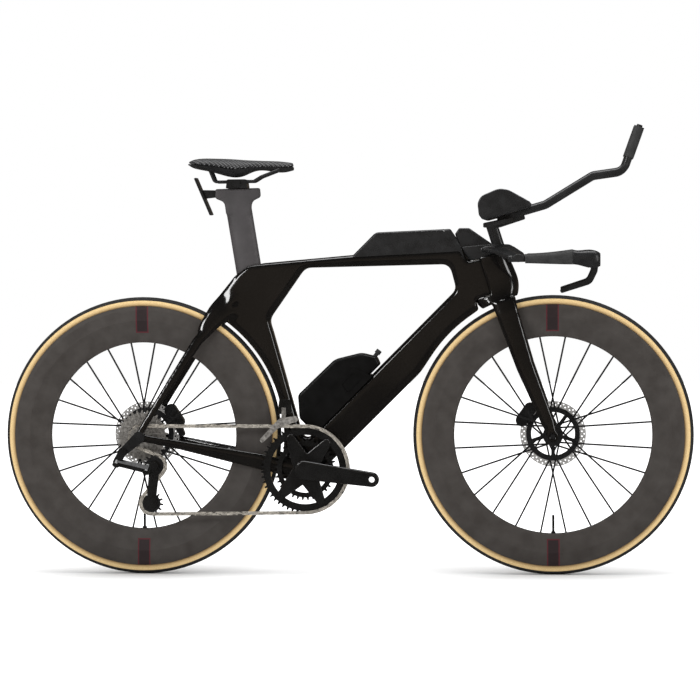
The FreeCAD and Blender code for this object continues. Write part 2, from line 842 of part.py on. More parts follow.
def make_cranks():
    heading = math.radians(S.crank_angle)
    eye = place(BOTTOM_BRACKET, S.crank_length * math.cos(heading), S.crank_length * math.sin(heading))
    other_eye = place(BOTTOM_BRACKET, -S.crank_length * math.cos(heading), -S.crank_length * math.sin(heading))
    near = S.crank_offset
    far = S.crank_offset + S.crank_thickness
    ring_face = S.chainline + 2.0
    arm_reach = 82.0
    cup_face = S.shell_width / 2 + 4.5
    axis_end = place(BOTTOM_BRACKET, 0, 0)

    def arm(start, end, y_from, y_to):
        shape = taper_plate(start, end, 23, S.crank_eye_radius, y_from, y_to)
        return soften(shape, 4, lambda edge: abs(edge.BoundBox.YLength) < 1e-6)

    right = [arm(axis_end, eye, -far, -near), drum(axis_end, 21, -near - 1, -cup_face)]
    for angle in ring_arm_places():
        tip = place(BOTTOM_BRACKET, arm_reach * math.cos(angle), arm_reach * math.sin(angle))
        right.append(taper_plate(axis_end, tip, 27, 11, -ring_face - 6, -ring_face))
    hole = drum(eye, S.pedal_hole_radius, -far - 1, -near + 1)
    spindle = drum(axis_end, S.spindle_radius, -cup_face, near)
    keep("right_crank", feature("right_crank", Part.Compound([joined(right).cut(hole), spindle])))
    left = joined([arm(axis_end, other_eye, near, far), drum(axis_end, 20, cup_face, near + 1)])
    left = left.cut(drum(axis_end, S.spindle_radius + S.seat_clearance, cup_face - 1, near + S.seat_clearance))
    left = left.cut(drum(other_eye, S.pedal_hole_radius, near - 1, far + 1))
    keep("left_crank", feature("left_crank", left))


def make_chainrings():
    """Toothed rings, each with a stiffer band, the outer one with bolt lugs that meet the arms."""
    outer_y = -S.chainline
    inner_y = -S.chainline + S.ring_spacing
    band = pitch_radius(S.outer_ring_teeth) - 7
    outer = sprocket(S.outer_ring_teeth, BOTTOM_BRACKET, outer_y, S.tooth_thickness, band - 14, ROUTE.phase(0))
    stiffener = drum(BOTTOM_BRACKET, band, outer_y - 2, outer_y + 2).cut(
        drum(BOTTOM_BRACKET, band - 14, outer_y - 3, outer_y + 3))
    inner_radius = pitch_radius(S.inner_ring_teeth)
    inner = sprocket(S.inner_ring_teeth, BOTTOM_BRACKET, inner_y, S.tooth_thickness, inner_radius - 16, 0.0)
    outer_pieces = [outer, stiffener]
    inner_pieces = [inner]
    lug_reach = 76.0
    bolt_reach = 61.0
    for angle in ring_arm_places():
        tip = place(BOTTOM_BRACKET, lug_reach * math.cos(angle), lug_reach * math.sin(angle))
        root = place(BOTTOM_BRACKET, (band - 10) * math.cos(angle), (band - 10) * math.sin(angle))
        outer_pieces.append(taper_plate(root, tip, 10.5, 10, outer_y - 2, outer_y + 2))
        bolt = place(BOTTOM_BRACKET, bolt_reach * math.cos(angle), bolt_reach * math.sin(angle))
        inner_pieces.append(drum(bolt, 4.5, -S.chainline - 2, inner_y))
    keep("chainrings", feature("chainrings", Part.Compound([joined(outer_pieces), joined(inner_pieces)])))


# Frame


def wheel_corner(centre, radius, from_angle, to_angle):
    """Corner whose rounding follows a wheel between two directions."""
    middle = math.radians((from_angle + to_angle) / 2)
    spread = math.radians(abs(to_angle - from_angle) / 2)
    reach = radius / math.cos(spread)
    return (centre[0] + reach * math.cos(middle), centre[1] + reach * math.sin(middle), float(radius))


def round_tangent(centre, radius, angle, distance):
    """Point on the line that touches a circle at an angle, a distance on from there."""
    turn = math.radians(angle)
    return (
        centre[0] + radius * math.cos(turn) - distance * math.sin(turn),
        centre[1] + radius * math.sin(turn) + distance * math.cos(turn),
    )


def head_corner(reach, height):
    spot = steer(reach, height)
    return (spot.x, spot.z)


def beside(start, end, share, offset):
    """Point at a share of the way between two points, and an offset to the left of it."""
    run = (end[0] - start[0], end[1] - start[1])
    length = math.hypot(*run)
    return (
        start[0] + run[0] * share - run[1] / length * offset,
        start[1] + run[1] * share + run[0] / length * offset,
    )


# Corners of the main triangle's opening
TRIANGLE_FOOT = place(BOTTOM_BRACKET, -4, 63)
TRIANGLE_HEAD = head_corner(-70, HEAD_TOP - 54)
TRIANGLE_TOP = head_corner(-67, HEAD_TOP + 9)


def make_main_frame():
    rear_round = TYRE_RADIUS + S.rear_tyre_room
    front_round = TYRE_RADIUS + S.front_tyre_room
    crown_back = -33.0
    crown_drop = 25.0
    frame_end = head_corner(crown_back, CROWN_HEIGHT - crown_drop)
    end_reach = math.hypot(frame_end[0] - FRONT_AXLE[0], frame_end[1] - FRONT_AXLE[1])
    front_angle = math.degrees(
        math.atan2(frame_end[1] - FRONT_AXLE[1], frame_end[0] - FRONT_AXLE[0]) + math.acos(front_round / end_reach))
    chin_angle = front_angle + 20.8
    chin = round_tangent(FRONT_AXLE, front_round, chin_angle, 52)
    heel = round_tangent(REAR_AXLE, rear_round, -13, -26)
    tail = round_tangent(REAR_AXLE, rear_round, 53.8, 38)
    tube_back = place(BOTTOM_BRACKET, -140, 497)
    tube_front = head_corner(-30, HEAD_TOP + 36)
    seat_back = place(BOTTOM_BRACKET, -168, 474)
    outline = [
        (*seat_back, 13),
        (*tube_back, 24),
        (*beside(tube_back, tube_front, 0.502, 4.6), 300),
        (*tube_front, 12),
        (*head_corner(-19, HEAD_TOP), 0),
        (*head_corner(0, HEAD_TOP), 0),
        (*head_corner(0, CROWN_HEIGHT), 0),
        (*head_corner(crown_back, CROWN_HEIGHT), 0),
        (*frame_end, 0),
        wheel_corner(FRONT_AXLE, front_round, front_angle, chin_angle),
        (*chin, 90),
        (*place(BOTTOM_BRACKET, 40, -4), 40),
        (*place(BOTTOM_BRACKET, 2, -36), 30),
        (*heel, 14),
        wheel_corner(REAR_AXLE, rear_round, -13, 53.8),
        (*tail, 11),
        (*beside(tail, seat_back, 0.174, 0.5), 60),
    ]
    opening = [
        (*TRIANGLE_FOOT, 14),
        (*place(BOTTOM_BRACKET, -78.5, 333), 60),
        (*place(BOTTOM_BRACKET, -88, 363), 25),
        (*beside(tube_back, tube_front, 0.268, -18.3), 26),
        (*TRIANGLE_TOP, 22),
        (*TRIANGLE_HEAD, 20),
    ]
    half = S.frame_width / 2
    body = plate(outline, -half, half, opening)
    nose_limit = steer(crown_back, CROWN_HEIGHT).x

    def outer_edge(edge):
        flat = edge.BoundBox.YLength < 1e-6
        middle = edge.valueAt((edge.FirstParameter + edge.LastParameter) / 2)
        spot = middle - steer(0, 0)
        reach = spot.dot(AHEAD)
        height = spot.dot(UP)
        by_head = reach > crown_back - 0.5 and CROWN_HEIGHT - crown_drop - 1 < height < HEAD_TOP + 1
        return flat and not (by_head and middle.x > nose_limit - 20)

    body = soften(body, S.frame_edge_radius, outer_edge)
    slab = feature("frame_slab", body)
    shell = rod("bottom_bracket_shell", S.shell_radius, S.shell_width,
                (BOTTOM_BRACKET[0], -S.shell_width / 2, BOTTOM_BRACKET[1]))
    head = steer_rod("head_tube", S.head_tube_radius, CROWN_HEIGHT, S.head_tube_length)
    solid = fuse("frame_solid", slab, shell, head)
    bore = rod("bottom_bracket_bore", S.shell_bore_radius, S.shell_width + 2,
               (BOTTOM_BRACKET[0], -S.shell_width / 2 - 1, BOTTOM_BRACKET[1]))
    passage = steer_rod("steerer_passage", S.steerer_radius + 1.5, CROWN_HEIGHT - 1, S.head_tube_length + 2)
    seat_radius = S.headset_radius + S.seat_clearance
    lower_seat = steer_rod("lower_headset_seat", seat_radius, CROWN_HEIGHT - 1, S.headset_height + 1)
    upper_seat = steer_rod("upper_headset_seat", seat_radius, HEAD_TOP - S.headset_height, S.headset_height + 1)
    stem_room = feature("stem_room", stem_cone(S.moving_gap))
    socket = feature("post_socket", post_prism(S.slide_clearance, S.post_insertion + S.post_travel + 1, 30))
    keep("main_frame", cut("main_frame", solid, bore, passage, lower_seat, upper_seat, stem_room, socket))


def stem_cone(gap):
    """Round room about the steering axis for the back of the stem."""
    low = Part.makeCone(19 + gap, STEM_BACK + gap, 37, steer(0, HEAD_TOP), UP)
    return low.fuse(Part.makeCylinder(STEM_BACK + gap, 60, steer(0, HEAD_TOP + 37), UP))


# Reach of the stem and its cover behind the steering axis
STEM_BACK = 32.0

# Seat post axis through the middle of the frame's collar
POST_COLLAR = place(BOTTOM_BRACKET, -139, 489)


def post_way():
    turn = math.radians(S.post_angle)
    return Vector(-math.cos(turn), 0, math.sin(turn))


def post_prism(clearance, below, above):
    """Aero seat post section swept along the post axis, from below to above its collar."""
    way = post_way()
    flat = Vector(way.z, 0, -way.x)
    start = point(POST_COLLAR) - way * below
    profile = section(start, flat, SIDE, S.post_chord / 2 + clearance, S.post_width / 2 + clearance, 2.6)
    return Part.Face(profile).extrude(way * (below + above))


def stay_loft(stations):
    """Flattened tube through (centre, half depth, half thickness), upright to its own line."""
    wires = []
    for number, (centre, half_depth, half_thickness) in enumerate(stations):
        before = stations[max(number - 1, 0)][0]
        after = stations[min(number + 1, len(stations) - 1)][0]
        way = after - before
        up = Vector(-way.z, 0, way.x).normalize()
        wires.append(facets(centre, up, SIDE, half_depth, half_thickness, 2.6))
    return loft(wires, ruled=True)


def make_rear_triangle():
    half = S.stay_thickness / 2
    inside = S.rear_hub_width / 2
    mid = inside + S.dropout_thickness / 2
    axle = REAR_AXLE

    def by_tyre(across, up, y):
        return point(place(axle, TYRE_RADIUS * across, TYRE_RADIUS * up), y)

    def to_shell(across, down, y):
        return point(place(axle, REAR_CENTRE * across, -S.bottom_bracket_drop * down), y)

    seat_stay = stay_loft([
        (by_tyre(0.655, 0.920, -18), 21, half * 1.1),
        (by_tyre(0.599, 0.873, -23), 18, half),
        (by_tyre(0.413, 0.687, -36), 13, half * 0.9),
        (by_tyre(0.1475, 0.2655, -mid + 9), 9.5, half * 0.8),
        (by_tyre(0.018, 0.053, -mid + 0.5), 9, half * 0.65),
        (by_tyre(0.0, 0.012, -mid), 9, half * 0.6),
    ])
    chain_stay = stay_loft([
        (to_shell(0.961, 1.025, -30), 19, half * 1.1),
        (to_shell(0.839, 0.925, -28), 19.5, half * 1.15),
        (to_shell(0.724, 0.775, -32), 20, half * 1.1),
        (to_shell(0.250, 0.250, -mid + 13), 11.5, half * 0.9),
        (to_shell(0.085, 0.0875, -mid + 1.5), 10, half * 0.65),
        (to_shell(0.015, 0.0125, -mid), 10, half * 0.6),
    ])
    boss = drum(axle, S.dropout_radius, -inside - S.dropout_thickness, -inside)
    hole = drum(axle, S.axle_radius + S.seat_clearance, -inside - 20, -inside + 20)
    wheel_room = drum(axle, TYRE_RADIUS + S.rear_tyre_room, -S.tyre_width / 2 - 3, S.tyre_width / 2 + 3)
    hub_room = drum(axle, S.dropout_radius + 14, -inside, inside)
    shell_room = drum(BOTTOM_BRACKET, S.shell_radius, -S.shell_width, S.shell_width)
    right = joined([seat_stay, chain_stay, boss]).cut(hole).cut(wheel_room).cut(hub_room).cut(shell_room)
    sides = feature("stay_sides", both_sides(right))
    keep("rear_triangle", cut("rear_triangle", sides, doc.getObject("main_frame")))


HANGER_BOLT = place(REAR_AXLE, -39, -35)


def make_hanger_and_axles():
    face = S.rear_hub_width / 2 + S.dropout_thickness
    hanger = taper_plate(REAR_AXLE, HANGER_BOLT, 14, 10, -face - S.hanger_thickness, -face)
    hanger = hanger.cut(drum(REAR_AXLE, S.axle_radius + S.seat_clearance, -face - 20, -face + 20))
    hanger = hanger.cut(drum(HANGER_BOLT, 5, -face - 20, -face + 20))
    keep("derailleur_hanger", feature("derailleur_hanger", hanger))
    for name, centre, left, right in (
        ("rear_thru_axle", REAR_AXLE, face, face + S.hanger_thickness),
        ("front_thru_axle", FRONT_AXLE, fork_face(), fork_face()),
    ):
        shaft = rod(name + "_shaft", S.axle_radius, left + right, (centre[0], -right, centre[1]))
        head = rod(name + "_head", S.axle_radius + 3.5, 4, (centre[0], left, centre[1]))
        key = rod(name + "_key", 3, 6, (centre[0], left + 1.5, centre[1]))
        keep(name, cut(name, fuse(name + "_solid", shaft, head), key))


def make_bearings():
    cups = []
    bore = S.spindle_radius + S.running_clearance
    half = S.shell_width / 2
    for name, side in (("right", -1), ("left", 1)):
        outline = [
            (bore, side * (half - 14)),
            (S.shell_bore_radius - S.seat_clearance, side * (half - 14)),
            (S.shell_bore_radius - S.seat_clearance, side * half),
            (S.shell_bore_radius + 3, side * half),
            (S.shell_bore_radius + 3, side * (half + 4)),
            (bore, side * (half + 4)),
        ]
        cups.append(turned(name + "_cup", outline, BOTTOM_BRACKET))
    keep("bottom_bracket", group("bottom_bracket", *cups))
    rings = []
    for name, start in (("lower", CROWN_HEIGHT), ("upper", HEAD_TOP - S.headset_height)):
        outer = steer_rod(name + "_race", S.headset_radius, start, S.headset_height)
        inner = steer_rod(name + "_race_bore", S.steerer_radius + S.running_clearance, start - 1, S.headset_height + 2)
        rings.append(cut(name + "_bearing", outer, inner))
    keep("headset_bearings", group("headset_bearings", *rings))


def caliper(centre, offset, direction, leg_points, y_from, y_to):
    """Disc caliper over the edge of a rotor, with a pad on each side of it."""
    turn = math.radians(direction)
    mid_radius = S.rotor_radius - S.rotor_track / 2
    middle = place(centre, (mid_radius + 8) * math.cos(turn), (mid_radius + 8) * math.sin(turn))
    body = taper_plate(
        along(middle, centre, 0, -17), along(middle, centre, 0, 17), 15, 15, y_from, y_to)
    foot = [taper_plate(middle, spot, 9, 7, y_from + 3, y_to - 3) for spot in leg_points]
    slot_half = S.rotor_thickness / 2 + 3.2
    slot = drum(centre, S.rotor_radius + 2, offset - slot_half, offset + slot_half)
    body = joined([body] + foot).cut(slot)
    pad_places = (along(middle, centre, 10, -9), along(middle, centre, 10, 9))
    pads = []
    for y_start, y_end in (
        (offset - slot_half, offset - S.rotor_thickness / 2 - S.slide_clearance),
        (offset + S.rotor_thickness / 2 + S.slide_clearance, offset + slot_half),
    ):
        pads.append(taper_plate(*pad_places, 6, 6, y_start, y_end))
    return [body] + pads


def make_calipers():
    front = caliper(FRONT_AXLE, FRONT_ROTOR, 144, [place(FRONT_AXLE, -52, 62)],
                    FRONT_ROTOR - 14, FRONT_ROTOR + 14)
    fork = doc.getObject("fork").Shape
    front[0] = front[0].cut(fork)
    keep("front_caliper", feature("front_caliper", Part.Compound(front)))
    rear = caliper(REAR_AXLE, REAR_ROTOR, 33, [place(REAR_AXLE, 86, 0)],
                   REAR_ROTOR - 12, REAR_ROTOR + 15)
    stays = doc.getObject("rear_triangle").Shape
    rear[0] = rear[0].cut(stays)
    keep("rear_caliper", feature("rear_caliper", Part.Compound(rear)))


def make_front_derailleur():
    """Block on the seat tube, and a cage of two plates round the chain that swings about a pin along X."""
    flank = S.frame_width / 2
    chain_y = -S.chainline
    pivot = Vector(BOTTOM_BRACKET[0] - 52, -flank - 13, BOTTOM_BRACKET[1] + 150)
    eye_half = 5.5
    block = plate([
        (*place(BOTTOM_BRACKET, -66, 134), 4),
        (*place(BOTTOM_BRACKET, -32, 134), 4),
        (*place(BOTTOM_BRACKET, -38, 170), 8),
        (*place(BOTTOM_BRACKET, -62, 172), 8),
    ], -flank - 22, -flank + 4)
    gap = S.moving_gap
    eye_room = bar(pivot - Vector(eye_half + gap, 0, 0), pivot + Vector(eye_half + gap, 0, 0), 5 + gap)
    neck_room = Part.makeBox(2 * (eye_half + gap), 22, 40, pivot + Vector(-eye_half - gap, -14, -40))
    pin = bar(pivot - Vector(9, 0, 0), pivot + Vector(9, 0, 0), 2)
    body = joined([block.cut(eye_room).cut(neck_room), pin])
    body = body.cut(doc.getObject("main_frame").Shape)
    keep("front_derailleur_body", feature("front_derailleur_body", body))
    sides = []
    inside = LINK["inner_gap"] / 2 + 2 * LINK["plate"] + 2.6
    sheet_metal = 1.5
    outline = [
        (*place(BOTTOM_BRACKET, -104, 64), 4),
        (*place(BOTTOM_BRACKET, -60, 104), 30),
        (*place(BOTTOM_BRACKET, -14, 118), 5),
        (*place(BOTTOM_BRACKET, -20, 130), 5),
        (*place(BOTTOM_BRACKET, -62, 124), 30),
        (*place(BOTTOM_BRACKET, -110, 72), 4),
    ]
    sides.append(plate(outline, chain_y - inside - sheet_metal, chain_y - inside))
    sides.append(plate(outline, chain_y + inside, chain_y + inside + sheet_metal))
    bridge = plate(sharp([
        place(BOTTOM_BRACKET, -60, 120.5),
        place(BOTTOM_BRACKET, -36, 122),
        place(BOTTOM_BRACKET, -36, 126),
        place(BOTTOM_BRACKET, -60, 125),
    ]), chain_y - inside - sheet_metal, pivot.y + 4)
    eye = bar(pivot - Vector(eye_half, 0, 0), pivot + Vector(eye_half, 0, 0), 5)
    neck = Part.makeBox(2 * eye_half, 8, 30, pivot + Vector(-eye_half, -4, -30))
    bore = bar(pivot - Vector(9, 0, 0), pivot + Vector(9, 0, 0), 2 + S.running_clearance)
    cage = joined(sides + [bridge, neck, eye]).cut(bore)
    keep("front_derailleur_cage", feature("front_derailleur_cage", cage))
    return pivot


# Slanted pins of the rear derailleur's link
LINK_PIN = Vector(0.162, 0.672, 0.701).normalize()
LINK_LENGTH = 75.0


def link_ends():
    """Centres of the link's upper and lower pins."""
    face = S.rear_hub_width / 2 + S.dropout_thickness + S.hanger_thickness
    upper = point(place(REAR_AXLE, -53, -59), -face - 4)
    way = Vector(0.968, 0, -0.251)
    way = (way - LINK_PIN * way.dot(LINK_PIN)).normalize()
    return upper, upper + way * LINK_LENGTH


def pin_link(upper, lower, radius, half):
    """Straight link between two slanted pins."""
    way = (lower - upper).normalize()
    across = LINK_PIN.cross(way)
    ends = [bar(spot - LINK_PIN * half, spot + LINK_PIN * half, radius) for spot in (upper, lower)]
    corners = [upper + across * radius, lower + across * radius, lower - across * radius, upper - across * radius]
    corners = [corner - LINK_PIN * half for corner in corners]
    web = Part.Face(Part.makePolygon(corners + corners[:1])).extrude(LINK_PIN * (2 * half))
    return joined([web] + ends)


def swung(shape, pivot, axis, angles):
    """One solid that covers a piece at each of several angles about a pivot."""
    turns = []
    for angle in angles:
        turn = shape.copy()
        turn.rotate(pivot, axis, angle)
        turns.append(turn)
    return turns[0].multiFuse(turns[1:])


def make_rear_derailleur():
    """Knuckle on the hanger, slanted link, lower knuckle, cage and two toothed pulleys."""
    face = S.rear_hub_width / 2 + S.dropout_thickness + S.hanger_thickness
    upper, lower = link_ends()
    half = 6.0
    radius = 8.0
    gap = S.moving_gap
    ear = half + 4
    pin_radius = 2.5
    bore_radius = pin_radius + S.running_clearance
    link = pin_link(upper, lower, radius, half)
    link_room = pin_link(upper, lower, radius + gap, half + gap)
    for spot in (upper, lower):
        link = link.cut(bar(spot - LINK_PIN * 20, spot + LINK_PIN * 20, bore_radius))
    keep("derailleur_link", feature("derailleur_link", link))

    def clevis(spot, block, angles):
        lugs = bar(spot - LINK_PIN * ear, spot + LINK_PIN * ear, radius + 1)
        room = swung(link_room, spot, LINK_PIN, angles)
        pin = bar(spot - LINK_PIN * ear, spot + LINK_PIN * ear, pin_radius)
        shape = joined([lugs] + block).cut(room)
        return joined([shape, pin])

    foot = (upper.x, upper.z)
    bolt = drum(HANGER_BOLT, 5 - S.seat_clearance, -face - 6, -face + S.hanger_thickness)
    boss = drum(HANGER_BOLT, 11, -face - 10, -face)
    web = taper_plate(HANGER_BOLT, foot, 10, 9, -face - 10, -face)
    swing = (-8, 4, 14, 24, 33)
    knuckle = clevis(upper, [bolt, boss, web], swing)
    keep("derailleur_knuckle", feature("derailleur_knuckle", knuckle))
    cage_face = PULLEY_Y - 6.1
    boss = drum(GUIDE, 11, lower.y, cage_face - gap)
    web = taper_plate(GUIDE, (lower.x, lower.z), 11, 9, lower.y, cage_face - 7)
    pivot_bore = drum(GUIDE, 5 + S.running_clearance, lower.y + 4, cage_face + 10)
    carrier = clevis(lower, [boss, web], swing).cut(pivot_bore)
    keep("derailleur_carrier", feature("derailleur_carrier", carrier))
    near = PULLEY_Y + 4.1
    outer_plate = taper_plate(GUIDE, TENSION, 13, 11, cage_face, cage_face + 2)
    outer_plate = joined([outer_plate, drum(TENSION, 17, cage_face, cage_face + 2)])
    inner_plate = taper_plate(GUIDE, TENSION, 8, 9, near, near + 1.8)
    stub = drum(GUIDE, 5, lower.y + 4.5, cage_face)
    bolts = [drum(spot, S.pulley_bolt_radius, cage_face, near + 1) for spot in (GUIDE, TENSION)]
    keep("derailleur_cage", feature("derailleur_cage", joined([outer_plate, inner_plate, stub] + bolts)))
    bore = S.pulley_bolt_radius + S.running_clearance
    for name, spot, station in (("guide_pulley", GUIDE, 2), ("tension_pulley", TENSION, 1)):
        wheel = sprocket(S.pulley_teeth, spot, PULLEY_Y, S.tooth_thickness, bore, ROUTE.phase(station))
        keep(name, feature(name, wheel))


def along_tube(distance, rise):
    """Point measured along the down tube's upper edge and square to it."""
    return along(TRIANGLE_FOOT, TRIANGLE_HEAD, distance, rise)


def make_bottle():
    half = 25.0
    floor = 3.4
    outline = [
        (*along_tube(34, floor), 8),
        (*along_tube(266, floor), 6),
        (*along_tube(273, 22), 12),
        (*along_tube(252, 56), 40),
        (*along_tube(196, 90), 30),
        (*along_tube(72, 93), 16),
        (*along_tube(34, 50), 16),
    ]
    shape = plate(outline, -half, half)
    body = soften(shape, 7, lambda edge: edge.BoundBox.YLength < 1e-6)
    seam = along_tube(236, 0)
    seam_top = along_tube(236, 120)
    beyond = [seam, along_tube(330, 0), along_tube(330, 120), seam_top]
    cap_room = plate(sharp(beyond), -half - 1, half + 1)
    mouth = point(along_tube(268, 26))
    way = (point(along_tube(1, 0.12)) - point(along_tube(0, 0))).normalize()
    stem_hole = bar(mouth - way * 14, mouth + way * 60, 5 + S.slide_clearance)
    keep("bottle_body", feature("bottle_body", body.cut(cap_room)))
    keep("bottle_cap", feature("bottle_cap", body.common(cap_room).cut(stem_hole)))
    nozzle = joined([bar(mouth - way * 13.5, mouth + way * 14, 5), bar(mouth + way * 10, mouth + way * 20, 7)])
    keep("bottle_nozzle", feature("bottle_nozzle", nozzle))
    return half, floor


def make_bottle_cage():
    half = 25.0
    inside = half + S.slide_clearance
    wall = 2.4
    cheek = [
        (*along_tube(40, 2.9), 4),
        (*along_tube(232, 2.9), 4),
        (*along_tube(214, 44), 14),
        (*along_tube(150, 46), 60),
        (*along_tube(60, 40), 20),
    ]
    window = [
        (*along_tube(160, 9), 6),
        (*along_tube(216, 9), 6),
        (*along_tube(204, 36), 6),
        (*along_tube(166, 36), 6),
    ]
    right = plate(cheek, -inside - wall, -inside, window)
    floor = plate(sharp([
        along_tube(40, -4), along_tube(232, -4), along_tube(232, 2.9), along_tube(40, 2.9),
    ]), -inside - wall, inside + wall)
    shape = joined([right, mirrored(right), floor]).cut(doc.getObject("main_frame").Shape)
    largest = max(shape.Solids, key=lambda solid: solid.Volume)
    keep("bottle_cage", feature("bottle_cage", largest))


# Middle of the head tube's top, to which the box and the cockpit are set out
HEAD_POINT = head_corner(0, HEAD_TOP)


def front(dx, dz):
    return place(HEAD_POINT, dx, dz)


# Hinge of the storage lid along its front edge
LID_HINGE = front(-80, 71.6)
LID_BARREL = 1.8


def make_storage():
    """Box on the top tube with an open top, and the lid that closes it."""
    half = S.frame_width / 2 - 1
    wall = 2.5
    outline = [
        (*front(-300, 12), 0),
        (*front(-300, -8), 0),
        (*front(-30, 6), 0),
        (*front(-34, 27), 0),
        (*front(-53.8, 58), 6),
        (*front(-64.8, 74), 6),
        (*front(-245, 66.7), 20),
    ]
    whole = soften(plate(outline, -half, half), 5, lambda edge: edge.BoundBox.YLength < 1e-6 and (
        edge.CenterOfMass.z > HEAD_POINT[1] + 30))
    stem_room = Part.makeCylinder(STEM_BACK + 2, 140, steer(0, HEAD_TOP), UP)
    whole = whole.cut(doc.getObject("main_frame").Shape).cut(stem_room)
    whole = max(whole.Solids, key=lambda solid: solid.Volume)
    lid_room = plate(sharp([
        front(-258, 63.2), front(-80, 70.4), front(-80, 100), front(-258, 100),
    ]), -half - 1, half + 1)
    gap = S.slide_clearance
    barrel = drum(LID_HINGE, LID_BARREL, -half + 6, half - 6)
    barrel_room = drum(LID_HINGE, LID_BARREL + 1.4, -half - 1, half + 1)
    lid_space = plate(sharp([
        front(-258 - gap, 63.2 - gap), front(-80 + gap, 70.4 - gap), front(-80 + gap, 100), front(-258 - gap, 100),
    ]), -half - 1, half + 1)
    cavity = plate([
        (*front(-252, 33), 6),
        (*front(-86, 36), 6),
        (*front(-86, 100), 0),
        (*front(-230, 100), 0),
        (*front(-230, 58), 4),
    ], -half + wall, half - wall)
    keep("storage_box", feature("storage_box", whole.cut(lid_space).cut(barrel_room).cut(cavity)))
    keep("storage_lid", feature("storage_lid", joined([whole.common(lid_room), barrel])))


# Seat


def post_top():
    spot = point(POST_COLLAR) + post_way() * S.post_exposed
    return (spot.x, spot.z)


def seat(dx, dz):
    return place(post_top(), dx, dz)


# Saddle stations as (forward, half width, top, bottom) from the top of the post
SADDLE = (
    (-115, 54, 106, 96),
    (-104, 64, 111, 90),
    (-59, 68, 113, 80),
    (-9, 52, 111, 68),
    (16, 40, 109, 72),
    (32, 34, 108, 79),
    (80, 24, 106, 82),
    (120, 20, 104, 80),
    (136, 13, 102, 84),
)
SEAM_SHARE = 0.42


def make_seat():
    prism = post_prism(0, S.post_insertion, S.post_exposed)
    head = plate([
        (*seat(-29, -22), 0),
        (*seat(31, -22), 0),
        (*seat(33, 10), 16),
        (*seat(55, 20), 8),
        (*seat(53, 42), 3),
        (*seat(-55, 40), 3),
        (*seat(-56, 17), 8),
        (*seat(-33, 8), 14),
    ], -S.post_width / 2 + 0.5, S.post_width / 2 - 0.5)
    head = soften(head, 3, lambda edge: edge.BoundBox.YLength < 1e-6 and edge.CenterOfMass.z > seat(0, 4)[1])
    post = joined([prism, head])
    keep("seatpost", feature("seatpost", post))
    rails = []
    tubes = []
    for radius, store in ((S.rail_radius, rails), (S.rail_radius + S.seat_clearance, tubes)):
        for side in (-1, 1):
            y = side * S.rail_spacing / 2
            spots = [point(seat(*spot), y) for spot in ((-66, 84), (-55, 57), (41, 58), (59, 69), (104, 86))]
            store.append(pipe(spots, radius, 9))
    keep("saddle_rails", feature("saddle_rails", Part.Compound(rails)))
    clamp = plate([
        (*seat(-27, 41), 2),
        (*seat(25, 41.6), 2),
        (*seat(22, 63), 4),
        (*seat(-24, 63), 4),
    ], -S.rail_spacing / 2 - 6, S.rail_spacing / 2 + 6)
    bolt_head = drum(seat(-1, 52), 10, -S.rail_spacing / 2 - 9, S.rail_spacing / 2 + 9)
    clamp = joined([clamp, bolt_head]).cut(post)
    for tube in tubes:
        clamp = clamp.cut(tube)
    keep("saddle_clamp", feature("saddle_clamp", clamp))
    wires = []
    seam = []
    for dx, half_width, top, bottom in SADDLE:
        centre = point(seat(dx, (top + bottom) / 2))
        wires.append(section(centre, SIDE, Vector(0, 0, 1), half_width, (top - bottom) / 2, 2.6))
        seam.append(seat(dx, bottom + SEAM_SHARE * (top - bottom)))
    whole = loft(wires)
    under = [place(seam[0], -20, 0)] + seam + [place(seam[-1], 20, 0)]
    low = [(under[-1][0], under[-1][1] - 80), (under[0][0], under[0][1] - 80)]
    lower_half = plate(sharp(under + low), -100, 100)
    base = whole.common(lower_half)
    for tube in tubes:
        base = base.cut(tube)
    keep("saddle_base", feature("saddle_base", base))
    pad = whole.cut(lower_half)
    for tube in tubes:
        pad = pad.cut(tube)
    keep("saddle_pad", feature("saddle_pad", pad))
    carrier = plate(sharp([seat(-106, 66), seat(-101, 68), seat(-63, -22), seat(-68, -24)], 1), -20, 20)
    arm = plate(sharp([seat(-92, 38), seat(-50, 37), seat(-50, 20), seat(-80, 17)]), -8, 8)
    bracket = joined([carrier, arm]).cut(post)
    for share in BRACKET_HOLES:
        spot, way = bracket_hole(share)
        bracket = bracket.cut(bar(spot - way * 12, spot + way * 12, BRACKET_HOLE_RADIUS))
    keep("rear_bracket", feature("rear_bracket", bracket))


BRACKET_HOLES = (0.15, 0.85)
BRACKET_HOLE_RADIUS = 2.65


def bracket_hole(share):
    """Middle and direction of a bolt hole in the plate behind the saddle."""
    top = point(seat(-103.5, 67))
    foot = point(seat(-65.5, -23))
    run = foot - top
    return top + run * share, Vector(run.z, 0, -run.x).normalize()


# Front end


def steer_box(back, ahead, half_width, low, high):
    """Box set square to the steering axis."""
    shape = Part.makeBox(ahead - back, 2 * half_width, high - low)
    corner = steer(back, low, -half_width)
    shape.Placement = Placement(Matrix(
        AHEAD.x, 0, UP.x, corner.x,
        AHEAD.y, 1, UP.y, corner.y,
        AHEAD.z, 0, UP.z, corner.z,
        0, 0, 0, 1,
    ))
    return shape


# Height of the steerer above the fork's top
STEERER_RISE = 22.0


def fork_face():
    return S.front_hub_width / 2 + 11


def fork_section(height, back, front, half_width, power=2.4):
    centre = steer((back + front) / 2, height)
    return section(centre, AHEAD, SIDE, (front - back) / 2, half_width, power)


